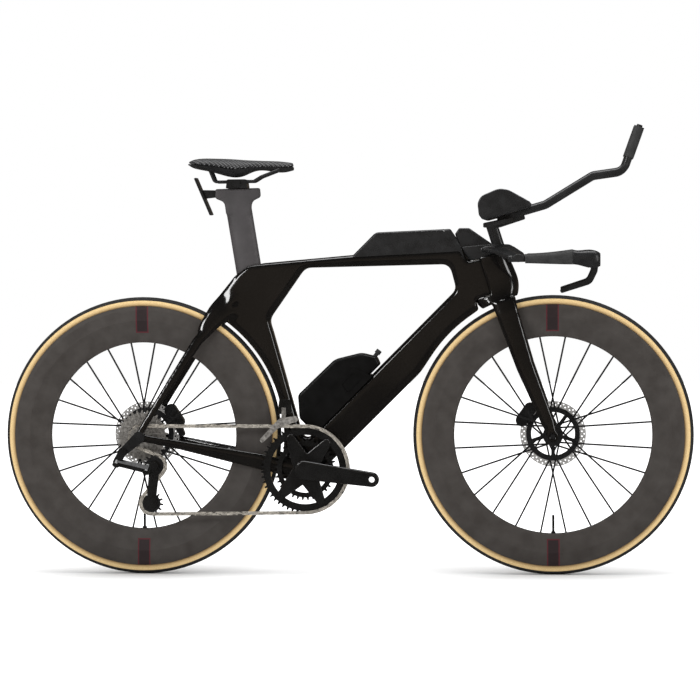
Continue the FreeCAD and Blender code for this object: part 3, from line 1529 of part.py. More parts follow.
def make_fork():
    crown = CROWN_HEIGHT - S.moving_gap
    top = HEAD_TOP + S.moving_gap
    trunk = loft([
        fork_section(CROWN_HEIGHT - 55, 4, 57, 40),
        fork_section(CROWN_HEIGHT - 28, -22, 62, 34),
        fork_section(CROWN_HEIGHT - 4, -34, 75, 27),
        fork_section(CROWN_HEIGHT + 30, -30, 80, 24.5),
        fork_section(HEAD_TOP - 20, -30, 75, 23.5),
        fork_section(top, -30, 66, 23),
    ])
    behind = steer_box(-80, 0, 60, 0, HEAD_TOP + 60)
    crown_round = Part.makeCylinder(32.3, HEAD_TOP + 60, steer(0, 0), UP)
    rear_waste = behind.cut(crown_round)
    head_room = Part.makeCylinder(S.head_tube_radius + S.moving_gap, 200, steer(0, crown), UP)
    over_crown = Part.makeCylinder(60, 200, steer(0, crown), UP)
    back_limit = steer_box(-80, 6, 60, crown, crown + 200)
    trunk = trunk.cut(rear_waste).cut(head_room).cut(over_crown.common(back_limit))
    wheel_room = drum(FRONT_AXLE, TYRE_RADIUS + S.front_tyre_room - 2, -60, 60)
    trunk = trunk.cut(wheel_room)
    inside = S.front_hub_width / 2
    leg_way = Vector(FRONT_AXLE[0], 0, FRONT_AXLE[1]) - steer(30, CROWN_HEIGHT - 50)
    across = Vector(-leg_way.z, 0, leg_way.x).normalize()
    mid = inside + 5.5
    leg = loft([
        section(steer(31, CROWN_HEIGHT - 20, -25), across, SIDE, 29, 9, 2.4),
        section(steer(31, CROWN_HEIGHT - 50, -30), across, SIDE, 28, 9, 2.4),
        section(steer(33, CROWN_HEIGHT - 190, -42), across, SIDE, 22, 8, 2.4),
        section(steer(S.fork_rake - 1, 34, -mid + 1), across, SIDE, 16, 5.5, 2.4),
        section(steer(S.fork_rake, 7, -mid), across, SIDE, 13, 5.5, 2.4),
    ], ruled=True)
    leg = leg.cut(drum(FRONT_AXLE, 40, -inside, inside))
    boss = drum(FRONT_AXLE, 14, -fork_face(), -inside)
    tyre_room = drum(FRONT_AXLE, TYRE_RADIUS + 6, -S.tyre_width / 2 - 4.5, S.tyre_width / 2 + 4.5)
    leg = joined([leg, boss]).cut(tyre_room)
    steerer = bar(steer(0, crown - 12), steer(0, top + STEERER_RISE), S.steerer_radius)
    shape = joined([trunk, leg, mirrored(leg), steerer])
    shape = shape.cut(drum(FRONT_AXLE, S.axle_radius + S.seat_clearance, -100, 100))
    shape = shape.cut(riser_prism(S.slide_clearance, HEAD_TOP - S.riser_insertion - 1, HEAD_TOP + 40))
    keep("fork", feature("fork", shape))


def riser_prism(clearance, low, high):
    profile = section(steer(S.riser_reach, low), AHEAD, SIDE,
                      S.riser_chord / 2 + clearance, S.riser_width / 2 + clearance, 2.6)
    return Part.Face(profile).extrude(UP * float(high - low))


# Cockpit


def horn_ends():
    """Axis of the right horn of the base bar, from inside the wing to inside the hood."""
    return point(front(78, 2), -S.bar_half_width + 2), point(front(288, 4), -S.bar_half_width)


HORN_RADIUS = 8.5


def make_base_bar():
    half = 20.0
    body = plate([
        (*front(-36, 30), 4),
        (*front(-34, -4), 0),
        (*front(60, -4), 0),
        (*front(97, -5), 6),
        (*front(118, 11), 6),
        (*front(91, 29), 14),
        (*front(78, 36), 20),
        (*front(37, 37), 60),
    ], -half, half)
    cone = stem_cone(0)
    above_seam = steer_box(0, 160, 60, HEAD_TOP - 60, HEAD_TOP + 160)
    below = steer_box(-60, 84, 60, HEAD_TOP - 80, HEAD_TOP + S.moving_gap)
    body = body.common(joined([cone, above_seam])).cut(below)
    stations = (
        (12, 35, 24, 28, 8, 2.4),
        (S.bar_half_width * 0.42, 50, 23.5, 25, 7.5, 2.4),
        (S.bar_half_width * 0.74, 68, 16.5, 21, 8, 2.4),
        (S.bar_half_width - 12, 92, 6, 17, 9.5, 2.3),
        (S.bar_half_width + 10, 104, 3, 14, 9.5, 2.2),
    )
    wires = []
    for y, dx, dz, half_depth, half_height, power in stations:
        wires.append(section(point(front(dx, dz), -y), Vector(1, 0, 0), Vector(0, 0, 1), half_depth, half_height, power))
    wing = loft(wires)
    start, end = horn_ends()
    horn = bar(start, end, HORN_RADIUS)
    side = joined([wing, horn])
    shape = joined([body, side, mirrored(side)])
    shape = shape.cut(steer_box(-60, 84, 26, HEAD_TOP - 80, HEAD_TOP + S.moving_gap))
    shape = shape.cut(bar(steer(0, HEAD_TOP), steer(0, HEAD_TOP + STEERER_RISE + 2), S.steerer_radius + S.seat_clearance))
    shape = shape.cut(riser_prism(S.slide_clearance, HEAD_TOP - 20, HEAD_TOP + 80))
    keep("base_bar", feature("base_bar", shape))
    cover = plate([
        (*front(-54, 60), 3),
        (*front(-43, 75.7), 6),
        (*front(-19, 75.7), 10),
        (*front(35, 38), 2),
        (*front(30, 30), 0),
        (*front(-40, 26), 0),
    ], -15, 15)
    cover = soften(cover, 4, lambda edge: edge.BoundBox.YLength < 1e-6 and edge.CenterOfMass.z > HEAD_POINT[1] + 45)
    cover = cover.common(Part.makeCylinder(STEM_BACK, 120, steer(0, HEAD_TOP), UP).fuse(
        steer_box(0, 80, 40, HEAD_TOP, HEAD_TOP + 120))).cut(shape)
    cover = cover.cut(riser_prism(S.slide_clearance, HEAD_TOP - 20, HEAD_TOP + 80))
    keep("stem_cover", feature("stem_cover", max(cover.Solids, key=lambda solid: solid.Volume)))


LEVER_PIVOT_OFFSET = (284.0, -8.0)
LEVER_HALF = 4.5
LEVER_PULL = 18.0


def make_levers():
    """Grips on the horns, hoods in front of them and a brake lever in each hood."""
    y = -S.bar_half_width
    start, end = horn_ends()
    horn_room = bar(start, end + (end - start).normalize() * S.seat_clearance, HORN_RADIUS + S.seat_clearance)

    def sleeve(stations):
        wires = []
        for dx, dz, half_width, half_height in stations:
            wires.append(section(point(front(dx, dz), y), SIDE, Vector(0, 0, 1), half_width, half_height, 2.4))
        return loft(wires)

    bar_shape = doc.getObject("base_bar").Shape
    grip = sleeve(((119, 2, 13, 11), (150, 2, 14, 12), (190, 3, 14.5, 14.5), (230, 5, 15, 17.5)))
    grip = grip.cut(horn_room).cut(bar_shape)
    grip = max(grip.Solids, key=lambda solid: solid.Volume)
    keep("bar_grips", feature("bar_grips", both_sides(grip)))
    pivot = point(front(*LEVER_PIVOT_OFFSET), y)
    blade = plate([
        (*front(276, 0), 6),
        (*front(276, -26), 14),
        (*front(266, -49), 16),
        (*front(199, -71), 4),
        (*front(203, -80), 4),
        (*front(274, -58), 22),
        (*front(288, -30), 20),
        (*front(292, 0), 6),
    ], y - LEVER_HALF, y + LEVER_HALF)
    gap = S.moving_gap
    room = plate(sharp([
        front(273, -60), front(297, -60), front(297, 4), front(273, 4),
    ]), y - LEVER_HALF - gap, y + LEVER_HALF + gap)
    room = swung(room, pivot, SIDE, (0, LEVER_PULL / 2, LEVER_PULL))
    hood = sleeve(((230.2, 5, 15, 17.5), (262, 1, 15.5, 20), (286, -1, 14.5, 20), (295, -2, 10, 15)))
    pin = bar(pivot - SIDE * 9, pivot + SIDE * 9, 2)
    eye = bar(pivot - SIDE * 9, pivot + SIDE * 9, 2 + S.running_clearance)
    hood = joined([hood.cut(room), pin]).cut(horn_room)
    hood = max(hood.Solids, key=lambda solid: solid.Volume)
    keep("lever_hoods", feature("lever_hoods", both_sides(hood)))
    blade = blade.cut(eye)
    pulls = (0, -LEVER_PULL / 3, -LEVER_PULL * 2 / 3, -LEVER_PULL)
    blade = blade.cut(swung(bar(start, end + Vector(1, 0, 0), HORN_RADIUS + 1), pivot, SIDE, pulls))
    blade = max(blade.Solids, key=lambda solid: solid.Volume)
    keep("right_brake_lever", feature("right_brake_lever", blade))
    keep("left_brake_lever", feature("left_brake_lever", mirrored(blade)))


# Top of the riser, to which the arm rests and extensions are set out
RISER_POINT = (steer(S.riser_reach, HEAD_TOP + S.riser_exposed).x, steer(S.riser_reach, HEAD_TOP + S.riser_exposed).z)


def rest(dx, dz):
    return place(RISER_POINT, dx, dz)


EXTENSION = ((14, 14), (130, 47), (244, 116), (317, 126), (352, 223))


def extension_pipe(radius, y):
    return pipe([point(rest(*spot), y) for spot in EXTENSION], radius, 30)


def make_arm_rests():
    post = riser_prism(0, HEAD_TOP - S.riser_insertion, HEAD_TOP + S.riser_exposed)
    block = plate([
        (*rest(-20, -7), 3),
        (*rest(20, -7), 3),
        (*rest(82, 13), 4),
        (*rest(78, 25), 4),
        (*rest(-20, 4), 3),
    ], -14, 14)
    cross = plate([
        (*rest(6, -4), 3),
        (*rest(54, 8), 3),
        (*rest(52, 16), 3),
        (*rest(4, 4), 3),
    ], -ARM_CUP_Y - 16, ARM_CUP_Y + 16)
    pieces = [post, block, cross]
    for side in (-1, 1):
        y = side * S.extension_spacing / 2
        pieces.append(plate([
            (*rest(22, -2), 3),
            (*rest(62, 8), 3),
            (*rest(56, 36), 6),
            (*rest(16, 26), 6),
        ], y - 12, y + 12))
    shape = joined(pieces)
    for side in (-1, 1):
        shape = shape.cut(extension_pipe(S.extension_radius + S.seat_clearance, side * S.extension_spacing / 2))
    cup_floor = ((-40, 6), (-18, 12), (62, 33), (110, 48))
    cup, pad = arm_cup(cup_floor)
    shape = shape.cut(cup).cut(mirrored(cup))
    shape = max(shape.Solids, key=lambda solid: solid.Volume)
    keep("riser_post", feature("riser_post", shape))
    keep("arm_cups", feature("arm_cups", both_sides(cup)))
    keep("arm_pads", feature("arm_pads", both_sides(pad)))


def arm_cup(floor):
    """Right arm rest: a trough, and the pad that lines it."""
    y = -ARM_CUP_Y
    outer = S.arm_cup_half_width
    outline = [
        (*rest(-27, 22), 6),
        (*rest(-30, 50), 24),
        (*rest(-22, 67), 24),
        (*rest(20, 85), 40),
        (*rest(44, 82), 40),
        (*rest(97, 52), 8),
        (*rest(97, 42), 5),
        (*rest(60, 29), 20),
        (*rest(-17, 9), 12),
    ]
    whole = soften(plate(outline, y - outer, y + outer), 4, lambda edge: (
        edge.BoundBox.YLength < 1e-6 and edge.CenterOfMass.z < RISER_POINT[1] + 36))

    def trough(rise, inset):
        low = [rest(dx, dz + rise) for dx, dz in floor]
        high = [(low[-1][0], low[-1][1] + 120), (low[0][0], low[0][1] + 150)]
        return plate(sharp(low + high), y - outer + inset, y + outer - inset)

    hollow = trough(S.arm_cup_wall, S.arm_cup_wall)
    cup = whole.cut(hollow)
    seat_gap = S.seat_clearance
    lining = trough(S.arm_cup_wall + seat_gap, S.arm_cup_wall + seat_gap)
    inner = trough(S.arm_cup_wall + S.arm_pad_thickness, S.arm_cup_wall + S.arm_pad_thickness * 0.7)
    pad = whole.common(lining).cut(inner)
    return cup, max(pad.Solids, key=lambda solid: solid.Volume)


def make_extensions():
    y = -S.extension_spacing / 2
    tube = extension_pipe(S.extension_radius, y)
    keep("extensions", feature("extensions", both_sides(tube)))
    tip = point(rest(*EXTENSION[-1]), y)
    way = (tip - point(rest(*EXTENSION[-2]), y)).normalize()
    wall = 2.5
    button_room = 9.0
    grip = bar(tip - way * 68, tip + way * button_room, S.extension_radius + wall)
    grip = grip.cut(bar(tip - way * 70, tip, S.extension_radius + S.seat_clearance))
    grip = grip.cut(bar(tip - way, tip + way * 20, S.button_radius + S.slide_clearance))
    keep("extension_grips", feature("extension_grips", both_sides(grip)))
    button = bar(tip + way * (BUTTON_TRAVEL + 0.4), tip + way * (button_room + 5), S.button_radius)
    button = soften(button, 2, lambda edge: edge.CenterOfMass.distanceToPoint(tip + way * (button_room + 5)) < 1e-3)
    keep("right_shift_button", feature("right_shift_button", button))
    keep("left_shift_button", feature("left_shift_button", mirrored(button)))


BUTTON_TRAVEL = 1.5

make_wheels()
make_chain()
make_cassette()
make_cranks()
make_chainrings()
make_main_frame()
doc.recompute()
make_rear_triangle()
doc.recompute()
make_hanger_and_axles()
make_bearings()
make_fork()
make_calipers()
make_front_derailleur()
make_rear_derailleur()
make_bottle()
make_bottle_cage()
make_storage()
make_seat()
make_base_bar()
make_levers()
make_arm_rests()
make_extensions()

doc.recompute()
os.makedirs("parts", exist_ok=True)
failed = [item.Name for item in doc.Objects if "Invalid" in item.State or "Error" in item.State]
bad = [piece.Label for piece in PIECES if piece.Shape.isNull() or not piece.Shape.isValid()]
if failed or bad:
    raise RuntimeError("failed objects %s, bad shapes %s" % (failed, bad))
for piece in PIECES:
    piece.Shape.exportStep("parts/%s.step" % piece.Label)
    print(piece.Label, len(piece.Shape.Solids), round(piece.Shape.Volume), piece.Shape.BoundBox)
print("cage angle", math.degrees(CAGE_ANGLE), "route", ROUTE.length)
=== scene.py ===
import json
import math
from contextlib import contextmanager

import bmesh
import bpy
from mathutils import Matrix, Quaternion, Vector


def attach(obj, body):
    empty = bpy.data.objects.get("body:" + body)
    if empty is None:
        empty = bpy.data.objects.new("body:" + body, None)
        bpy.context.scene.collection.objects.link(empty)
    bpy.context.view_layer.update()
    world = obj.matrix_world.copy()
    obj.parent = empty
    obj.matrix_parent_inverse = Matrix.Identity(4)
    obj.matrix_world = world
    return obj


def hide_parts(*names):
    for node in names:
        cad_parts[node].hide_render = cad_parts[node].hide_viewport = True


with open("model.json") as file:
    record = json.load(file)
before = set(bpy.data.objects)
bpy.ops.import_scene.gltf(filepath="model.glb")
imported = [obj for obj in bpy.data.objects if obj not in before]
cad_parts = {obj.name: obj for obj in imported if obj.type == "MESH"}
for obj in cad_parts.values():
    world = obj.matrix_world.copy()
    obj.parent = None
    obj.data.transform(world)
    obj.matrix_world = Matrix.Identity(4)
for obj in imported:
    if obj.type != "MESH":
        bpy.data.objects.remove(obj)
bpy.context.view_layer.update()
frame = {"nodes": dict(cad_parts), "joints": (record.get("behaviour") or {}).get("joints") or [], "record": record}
nodes = frame["nodes"]
joints = {joint["name"]: joint for joint in frame["joints"]}
scene = bpy.context.scene

# All lengths are in metres, and points in the side plane are given as (x, z).

FRONT_AXLE = Vector(joints["front_wheel_spin"]["pos_m"])
REAR_AXLE = Vector(joints["rear_wheel_spin"]["pos_m"])

# Where the wheels change colour, measured from the axle. The tyres stand on the floor at z = 0.

TYRE_RADIUS = FRONT_AXLE.z
TREAD_RADIUS = TYRE_RADIUS - 0.0085
# Inside this radius the tan wall is painted dark brown, as painted shade towards the rim.
WALL_SHADE_RADIUS = TYRE_RADIUS - 0.0175
ROTOR_TRACK_RADIUS = 0.0655
PATCH_RADIUS = 0.252
PATCH_HALF_WIDTH = 0.0155
PATCH_BORDER = 0.003

# Radians per metre of the striped patterns

ROTOR_RINGS = 9000.0
SADDLE_ROWS = 1150.0
SADDLE_BREAKS = 520.0

# Frame skin: points on the hip where the stays leave the seat tube, and the plate that fills it

HIP = ((-0.300, 0.650), (-0.325, 0.615), (-0.345, 0.630), (-0.316, 0.672), (-0.285, 0.672))
HIP_REACH = 0.060
HIP_ROUNDS = 80
HIP_FILL = ((-0.270, 0.729), (-0.335, 0.651), (-0.316, 0.651), (-0.273, 0.700))
HIP_FILL_HALF = 0.0185

# Swellings on each side of the frame skin: two at the hip and one behind the bottom bracket. A slant is in
# degrees, and a flare is the slope at which the low end leans out.

SWELLINGS = (
    {"centre": (-0.287, 0.0135, 0.654), "radii": (0.050, 0.0125, 0.0170), "slant": 57.0, "flare": 0.0},
    {"centre": (-0.322, 0.0205, 0.643), "radii": (0.066, 0.0090, 0.0165), "slant": 54.0, "flare": 0.17},
    {"centre": (-0.128, 0.0210, 0.268), "radii": (0.060, 0.0120, 0.0200), "slant": -12.0, "flare": 0.0},
)

CLOTH_FRAMES = 20


# Shader helpers


class Graph:
    """Short ways to add and join nodes in a shader tree."""

    def __init__(self, tree):
        self.tree = tree

    def node(self, kind, inputs=None, **settings):
        made = self.tree.nodes.new(kind)
        for key, value in settings.items():
            setattr(made, key, value)
        for key, value in (inputs or {}).items():
            self.link(value, made.inputs[key])
        return made

    def link(self, value, socket):
        """Joins an output to an input, or sets the input to a plain value."""
        if isinstance(value, bpy.types.NodeSocket):
            self.tree.links.new(value, socket)
        else:
            socket.default_value = value

    def ramp(self, value, start, end, low=0.0, high=1.0):
        """Rises from low at start to high at end."""
        return self.node("ShaderNodeMapRange", {
            "Value": value, "From Min": start, "From Max": end, "To Min": low, "To Max": high}).outputs[0]

    def blend(self, factor, low, high):
        """Goes from one colour to another. Each is a tuple or an output."""
        mix = self.node("ShaderNodeMix", {"Factor": factor}, data_type="RGBA")
        self.link((*low, 1.0) if isinstance(low, tuple) else low, mix.inputs["A"])
        self.link((*high, 1.0) if isinstance(high, tuple) else high, mix.inputs["B"])
        return mix.outputs["Result"]

    def mixed(self, factor, first, second):
        """Goes from one shader to another."""
        return self.node("ShaderNodeMixShader", {0: factor, 1: first.outputs[0], 2: second.outputs[0]})

    def show(self, shader, output):
        """Makes a shader the one that the tree's output node shows."""
        self.link(shader.outputs[0], self.tree.nodes[output].inputs["Surface"])


class Paint(Graph):
    """A material built node by node around one Principled shader."""

    def __init__(self, name):
        self.material = bpy.data.materials.new(name)
        self.material.use_nodes = True
        super().__init__(self.material.node_tree)
        self.shader = self.tree.nodes["Principled BSDF"]
        self.coords = self.node("ShaderNodeTexCoord").outputs["Object"]

    def set(self, **inputs):
        for key, value in inputs.items():
            self.link(value, self.shader.inputs[key.replace("_", " ")])

    def math(self, operation, first, second=0.0):
        return self.node("ShaderNodeMath", {0: first, 1: second}, operation=operation).outputs[0]

    def noise(self, scale, detail=3.0):
        texture = self.node("ShaderNodeTexNoise", {"Vector": self.coords, "Scale": scale, "Detail": detail})
        return texture.outputs["Fac"]

    def spread(self, factor, low=0.0, high=1.0):
        """Maps a noise of about 0.3 to 0.7 onto low to high."""
        return self.ramp(factor, 0.3, 0.7, low, high)

    def step(self, value, edge, softness):
        """0 below an edge and 1 above it."""
        return self.ramp(value, edge - softness, edge + softness)

    def wave(self, value, density):
        """A sine with a density in radians per metre."""
        return self.math("SINE", self.math("MULTIPLY", value, density))

    def length(self, first, second):
        """The long side of a right triangle."""
        first_square = self.math("MULTIPLY", first, first)
        second_square = self.math("MULTIPLY", second, second)
        return self.math("SQRT", self.math("ADD", first_square, second_square))

    def axis(self, letter):
        return self.node("ShaderNodeSeparateXYZ", {0: self.coords}).outputs[letter]

    def radius(self, centre):
        """Distance from a wheel's axle."""
        x = self.math("SUBTRACT", self.axis("X"), centre.x)
        z = self.math("SUBTRACT", self.axis("Z"), centre.z)
        return self.length(x, z)

    def bump(self, height, strength, distance):
        out = self.node("ShaderNodeBump", {"Height": height, "Strength": strength, "Distance": distance})
        self.set(Normal=out.outputs[0])


# Finishes


def finish(
    name, low, high, rough, scale, metallic=0.0, coat=0.0, grain=0.0, grain_scale=900.0, specular=0.5
):
    """A surface whose colour and roughness drift between two values."""
    paint = Paint(name)
    finer_scale = scale * 2.3
    paint.set(Base_Color=paint.blend(paint.spread(paint.noise(scale)), low, high))
    paint.set(Roughness=paint.spread(paint.noise(finer_scale), *rough))
    paint.set(Metallic=metallic, Coat_Weight=coat, Coat_Roughness=0.05)
    paint.set(Specular_IOR_Level=specular)
    if grain:
        paint.bump(paint.noise(grain_scale, detail=2.0), strength=grain, distance=0.0004)
    return paint.material


def tyre_paint(name, centre):
    """Tan side walls with painted shade towards the rim, and a black tread."""
    paint = Paint(name)
    radius = paint.radius(centre)
    weave = paint.noise(420.0, detail=2.0)
    tan = paint.blend(paint.spread(weave), (0.58, 0.41, 0.19), (0.72, 0.53, 0.27))
    # Painted shade: the tan wall turns dark brown near the rim, inside the radius given.
    tan = paint.blend(paint.step(radius, WALL_SHADE_RADIUS, 0.0045), (0.30, 0.19, 0.085), tan)
    mottle = paint.spread(paint.noise(260.0))
    tread = paint.blend(mottle, (0.012, 0.012, 0.012), (0.028, 0.027, 0.026))
    paint.set(Base_Color=paint.blend(paint.step(radius, TREAD_RADIUS, 0.0004), tan, tread))
    paint.set(Roughness=0.75, Specular_IOR_Level=0.2)
    paint.bump(weave, strength=0.15, distance=0.0004)
    return paint.material


def rim_paint(name, centre):
    """Clouded carbon, with a bordered dark patch above and below the axle."""
    paint = Paint(name)
    cloud = paint.noise(34.0, detail=4.0)
    base = paint.blend(paint.spread(cloud), (0.040, 0.034, 0.030), (0.054, 0.047, 0.042))
    x = paint.math("ABSOLUTE", paint.math("SUBTRACT", paint.axis("X"), centre.x))
    radius = paint.radius(centre)

    def inside(border):
        near = paint.math("LESS_THAN", x, PATCH_HALF_WIDTH - border)
        return paint.math("MULTIPLY", near, paint.math("GREATER_THAN", radius, PATCH_RADIUS + border))

    framed = paint.blend(inside(0.0), base, (0.085, 0.012, 0.018))
    paint.set(Base_Color=paint.blend(inside(PATCH_BORDER), framed, (0.024, 0.014, 0.015)))
    paint.set(Roughness=paint.spread(cloud, 0.42, 0.55), Specular_IOR_Level=0.3)
    paint.bump(paint.noise(500.0, detail=1.0), strength=0.08, distance=0.0003)
    return paint.material


def rotor_paint(name, centre):
    """A bright braking track with turning marks, on a dark carrier."""
    paint = Paint(name)
    radius = paint.radius(centre)
    half_wave = paint.math("MULTIPLY", paint.wave(radius, ROTOR_RINGS), 0.5)
    track = paint.blend(paint.math("ADD", half_wave, 0.5), (0.42, 0.41, 0.40), (0.62, 0.61, 0.59))
    mottle = paint.spread(paint.noise(300.0))
    dark = paint.blend(mottle, (0.012, 0.012, 0.013), (0.03, 0.03, 0.032))
    outer = paint.step(radius, ROTOR_TRACK_RADIUS, 0.0002)
    paint.set(Base_Color=paint.blend(outer, dark, track), Metallic=0.4, Roughness=0.34)
    return paint.material


def saddle_paint():
    """Fine leather-like grain, with slanting rows of raised grip dashes."""
    paint = Paint("saddle_cover")
    along = paint.axis("X")
    side = paint.math("SUBTRACT", paint.axis("Z"), paint.math("ABSOLUTE", paint.axis("Y")))
    rows = paint.wave(paint.math("SUBTRACT", along, side), SADDLE_ROWS)
    breaks = paint.wave(paint.math("ADD", along, side), SADDLE_BREAKS)
    dash = paint.math("MULTIPLY", paint.step(rows, 0.35, 0.3), paint.step(breaks, -0.35, 0.3))
    grain = paint.noise(1500.0, detail=2.0)
    paint.set(Base_Color=paint.blend(dash, (0.005, 0.005, 0.0055), (0.17, 0.17, 0.172)))
    paint.set(Roughness=paint.spread(grain, 0.5, 0.7))
    paint.bump(paint.math("ADD", dash, grain), strength=0.35, distance=0.0006)
    return paint.material


def chain_paint():
    """Plates that differ in brightness from link to link."""
    paint = Paint("chain_steel")
    pick = paint.node("ShaderNodeNewGeometry").outputs["Random Per Island"]
    shine = paint.blend(pick, (0.05, 0.045, 0.04), (0.66, 0.61, 0.53))
    paint.set(Base_Color=shine, Metallic=0.35, Roughness=paint.spread(paint.noise(400.0), 0.26, 0.42))
    return paint.material


GLOSS = finish(
    "gloss_carbon", (0.0030, 0.0027, 0.0025), (0.0052, 0.0046, 0.0042),
    rough=(0.10, 0.16), scale=9.0, coat=0.6)
SATIN = finish(
    "satin_carbon", (0.011, 0.011, 0.0112), (0.019, 0.019, 0.0194),
    rough=(0.24, 0.34), scale=22.0, grain=0.05)
POST = finish(
    "post_carbon", (0.044, 0.040, 0.041), (0.062, 0.056, 0.058),
    rough=(0.40, 0.50), scale=18.0, grain=0.05)
PLASTIC = finish(
    "black_plastic", (0.009, 0.009, 0.0095), (0.016, 0.016, 0.0165),
    rough=(0.24, 0.36), scale=40.0, grain=0.08)
BOTTLE = finish(
    "bottle_plastic", (0.002, 0.002, 0.002), (0.004, 0.004, 0.004),
    rough=(0.3, 0.4), scale=40.0, specular=0.25)
RUBBER = finish(
    "black_rubber", (0.018, 0.018, 0.018), (0.030, 0.030, 0.030),
    rough=(0.6, 0.8), scale=60.0, grain=0.3, grain_scale=700.0)
ALLOY = finish(
    "black_alloy", (0.008, 0.008, 0.008), (0.016, 0.016, 0.017),
    rough=(0.26, 0.38), scale=50.0, metallic=0.3)
POLISH = finish(
    "polished_black", (0.004, 0.004, 0.004), (0.008, 0.008, 0.008),
    rough=(0.10, 0.18), scale=30.0, coat=0.8)
STEEL = finish(
    "steel", (0.40, 0.38, 0.35), (0.58, 0.56, 0.52),
    rough=(0.26, 0.4), scale=120.0, metallic=0.4)
COGS = finish(
    "cog_steel", (0.14, 0.13, 0.12), (0.46, 0.44, 0.41),
    rough=(0.28, 0.42), scale=160.0, metallic=0.5)
FOAM = finish(
    "pad_foam", (0.014, 0.014, 0.015), (0.026, 0.026, 0.027),
    rough=(0.8, 0.95), scale=300.0, grain=0.5, grain_scale=1300.0)
SADDLE = saddle_paint()

# The finish of each material slot, and of the nodes that differ from their slot's

FINISHES = {
    "gloss_carbon": GLOSS,
    "satin_carbon": SATIN,
    "black_alloy": ALLOY,
    "steel": STEEL,
    "black_rubber": RUBBER,
    "black_plastic": PLASTIC,
    "saddle_cover": SADDLE,
    "pad_foam": FOAM,
}
SPECIAL = {
    "front_tyre": tyre_paint("front_tyre_paint", FRONT_AXLE),
    "rear_tyre": tyre_paint("rear_tyre_paint", REAR_AXLE),
    "front_rim": rim_paint("front_rim_paint", FRONT_AXLE),
    "rear_rim": rim_paint("rear_rim_paint", REAR_AXLE),
    "front_rotor": rotor_paint("front_rotor_paint", FRONT_AXLE),
    "rear_rotor": rotor_paint("rear_rotor_paint", REAR_AXLE),
    "chain": chain_paint(),
    "cassette": COGS,
    "bottle_body": BOTTLE,
    "bottle_cap": BOTTLE,
    "bottle_cage": BOTTLE,
    "left_crank": POLISH,
    "chainrings": POLISH,
    "derailleur_knuckle": POLISH,
    "derailleur_link": ALLOY,
    "derailleur_carrier": POLISH,
    "derailleur_cage": POLISH,
    "front_derailleur_body": POLISH,
    "front_derailleur_cage": COGS,
}


def dress(obj, material):
    """Gives an object one material in place of those it has."""
    obj.data.materials.clear()
    obj.data.materials.append(material)


slot_of = {entry["node"]: entry["material_slot"] for entry in frame["record"]["subparts"]}
for name, obj in nodes.items():
    dress(obj, SPECIAL.get(name) or FINISHES[slot_of[name]])


# Mesh helpers


def copied(name, source):
    """A new object with a copy of a CAD node's faces."""
    work = bmesh.new()
    work.from_mesh(nodes[source].data)
    mesh = bpy.data.meshes.new(name)
    work.to_mesh(mesh)
    work.free()
    obj = bpy.data.objects.new(name, mesh)
    scene.collection.objects.link(obj)
    return obj


@contextmanager
def editing(obj):
    """Opens a new object's faces for changes and puts them back afterwards."""
    work = bmesh.new()
    work.from_mesh(obj.data)
    yield work
    work.to_mesh(obj.data)
    work.free()


def apply_all(obj):
    """Puts the result of the modifiers into the mesh."""
    graph = bpy.context.evaluated_depsgraph_get()
    mesh = bpy.data.meshes.new_from_object(obj.evaluated_get(graph))
    obj.modifiers.clear()
    obj.data = mesh


def remeshed(obj, voxel):
    """Wraps a mesh in one closed skin of small even faces."""
    skin = obj.modifiers.new("skin", "REMESH")
    skin.mode = "VOXEL"
    skin.voxel_size = voxel
    apply_all(obj)


def relaxed(obj, rounds, near=None, reach=1.0):
    """Smooths a mesh, all over or only within reach of some points in the side plane."""
    relax = obj.modifiers.new("relax", "SMOOTH")
    relax.iterations = rounds
    relax.factor = 0.5
    if near:
        group = obj.vertex_groups.new(name="near")
        for vertex in obj.data.vertices:
            gap = min(math.hypot(vertex.co.x - x, vertex.co.z - z) for x, z in near)
            weight = max(0.0, 1.0 - gap / reach)
            group.add([vertex.index], weight * weight * (3.0 - 2.0 * weight), "REPLACE")
        relax.vertex_group = "near"
    apply_all(obj)


def merged(obj, other):
    """Moves another object's faces into an object."""
    with editing(obj) as work:
        work.from_mesh(other.data)
    bpy.data.objects.remove(other)


def swelling(obj, side, centre, radii, slant, flare):
    """Adds an egg shape on one side of a mesh, slanted in the side plane, with its low end leaning out."""
    middle = Vector((centre[0], side * centre[1], centre[2]))
    turn = Quaternion((0.0, -1.0, 0.0), math.radians(slant))
    with editing(obj) as work:
        made = bmesh.ops.create_icosphere(work, subdivisions=4, radius=1.0)
        for vertex in made["verts"]:
            scaled = Vector([part * radius for part, radius in zip(vertex.co, radii)])
            scaled.y -= side * flare * scaled.x
            vertex.co = turn @ scaled + middle


def slab(obj, outline, half):
    """Adds a flat plate to a mesh, with its outline in the side plane and its middle at y = 0."""
    with editing(obj) as work:
        near = [work.verts.new((x, -half, z)) for x, z in outline]
        far = [work.verts.new((x, half, z)) for x, z in outline]
        work.faces.new(near)
        work.faces.new(far[::-1])
        for index, vertex in enumerate(near):
            work.faces.new((vertex, far[index], far[index - 1], near[index - 1]))
        bmesh.ops.recalc_face_normals(work, faces=work.faces)


def blown_up(obj, pressure):
    """Where the points of a mesh end up when it is blown up as cloth."""
    cloth = obj.modifiers.new("cloth", "CLOTH")
    cloth.settings.use_pressure = True
    cloth.settings.uniform_pressure_force = pressure
    cloth.settings.effector_weights.gravity = 0.0
    cloth.point_cache.frame_start = 1
    cloth.point_cache.frame_end = CLOTH_FRAMES
    for number in range(1, CLOTH_FRAMES + 1):
        scene.frame_set(number)
    graph = bpy.context.evaluated_depsgraph_get()
    blown = obj.evaluated_get(graph).to_mesh()
    points = [vertex.co.copy() for vertex in blown.vertices]
    obj.modifiers.clear()
    return points


# Replaced pieces


def stand_in(obj, body, slot, material, *sources):
    """Puts a finished piece in the place of CAD nodes."""
    dress(obj, material)
    for polygon in obj.data.polygons:
        polygon.use_smooth = True
    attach(obj, body)
    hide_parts(*sources)


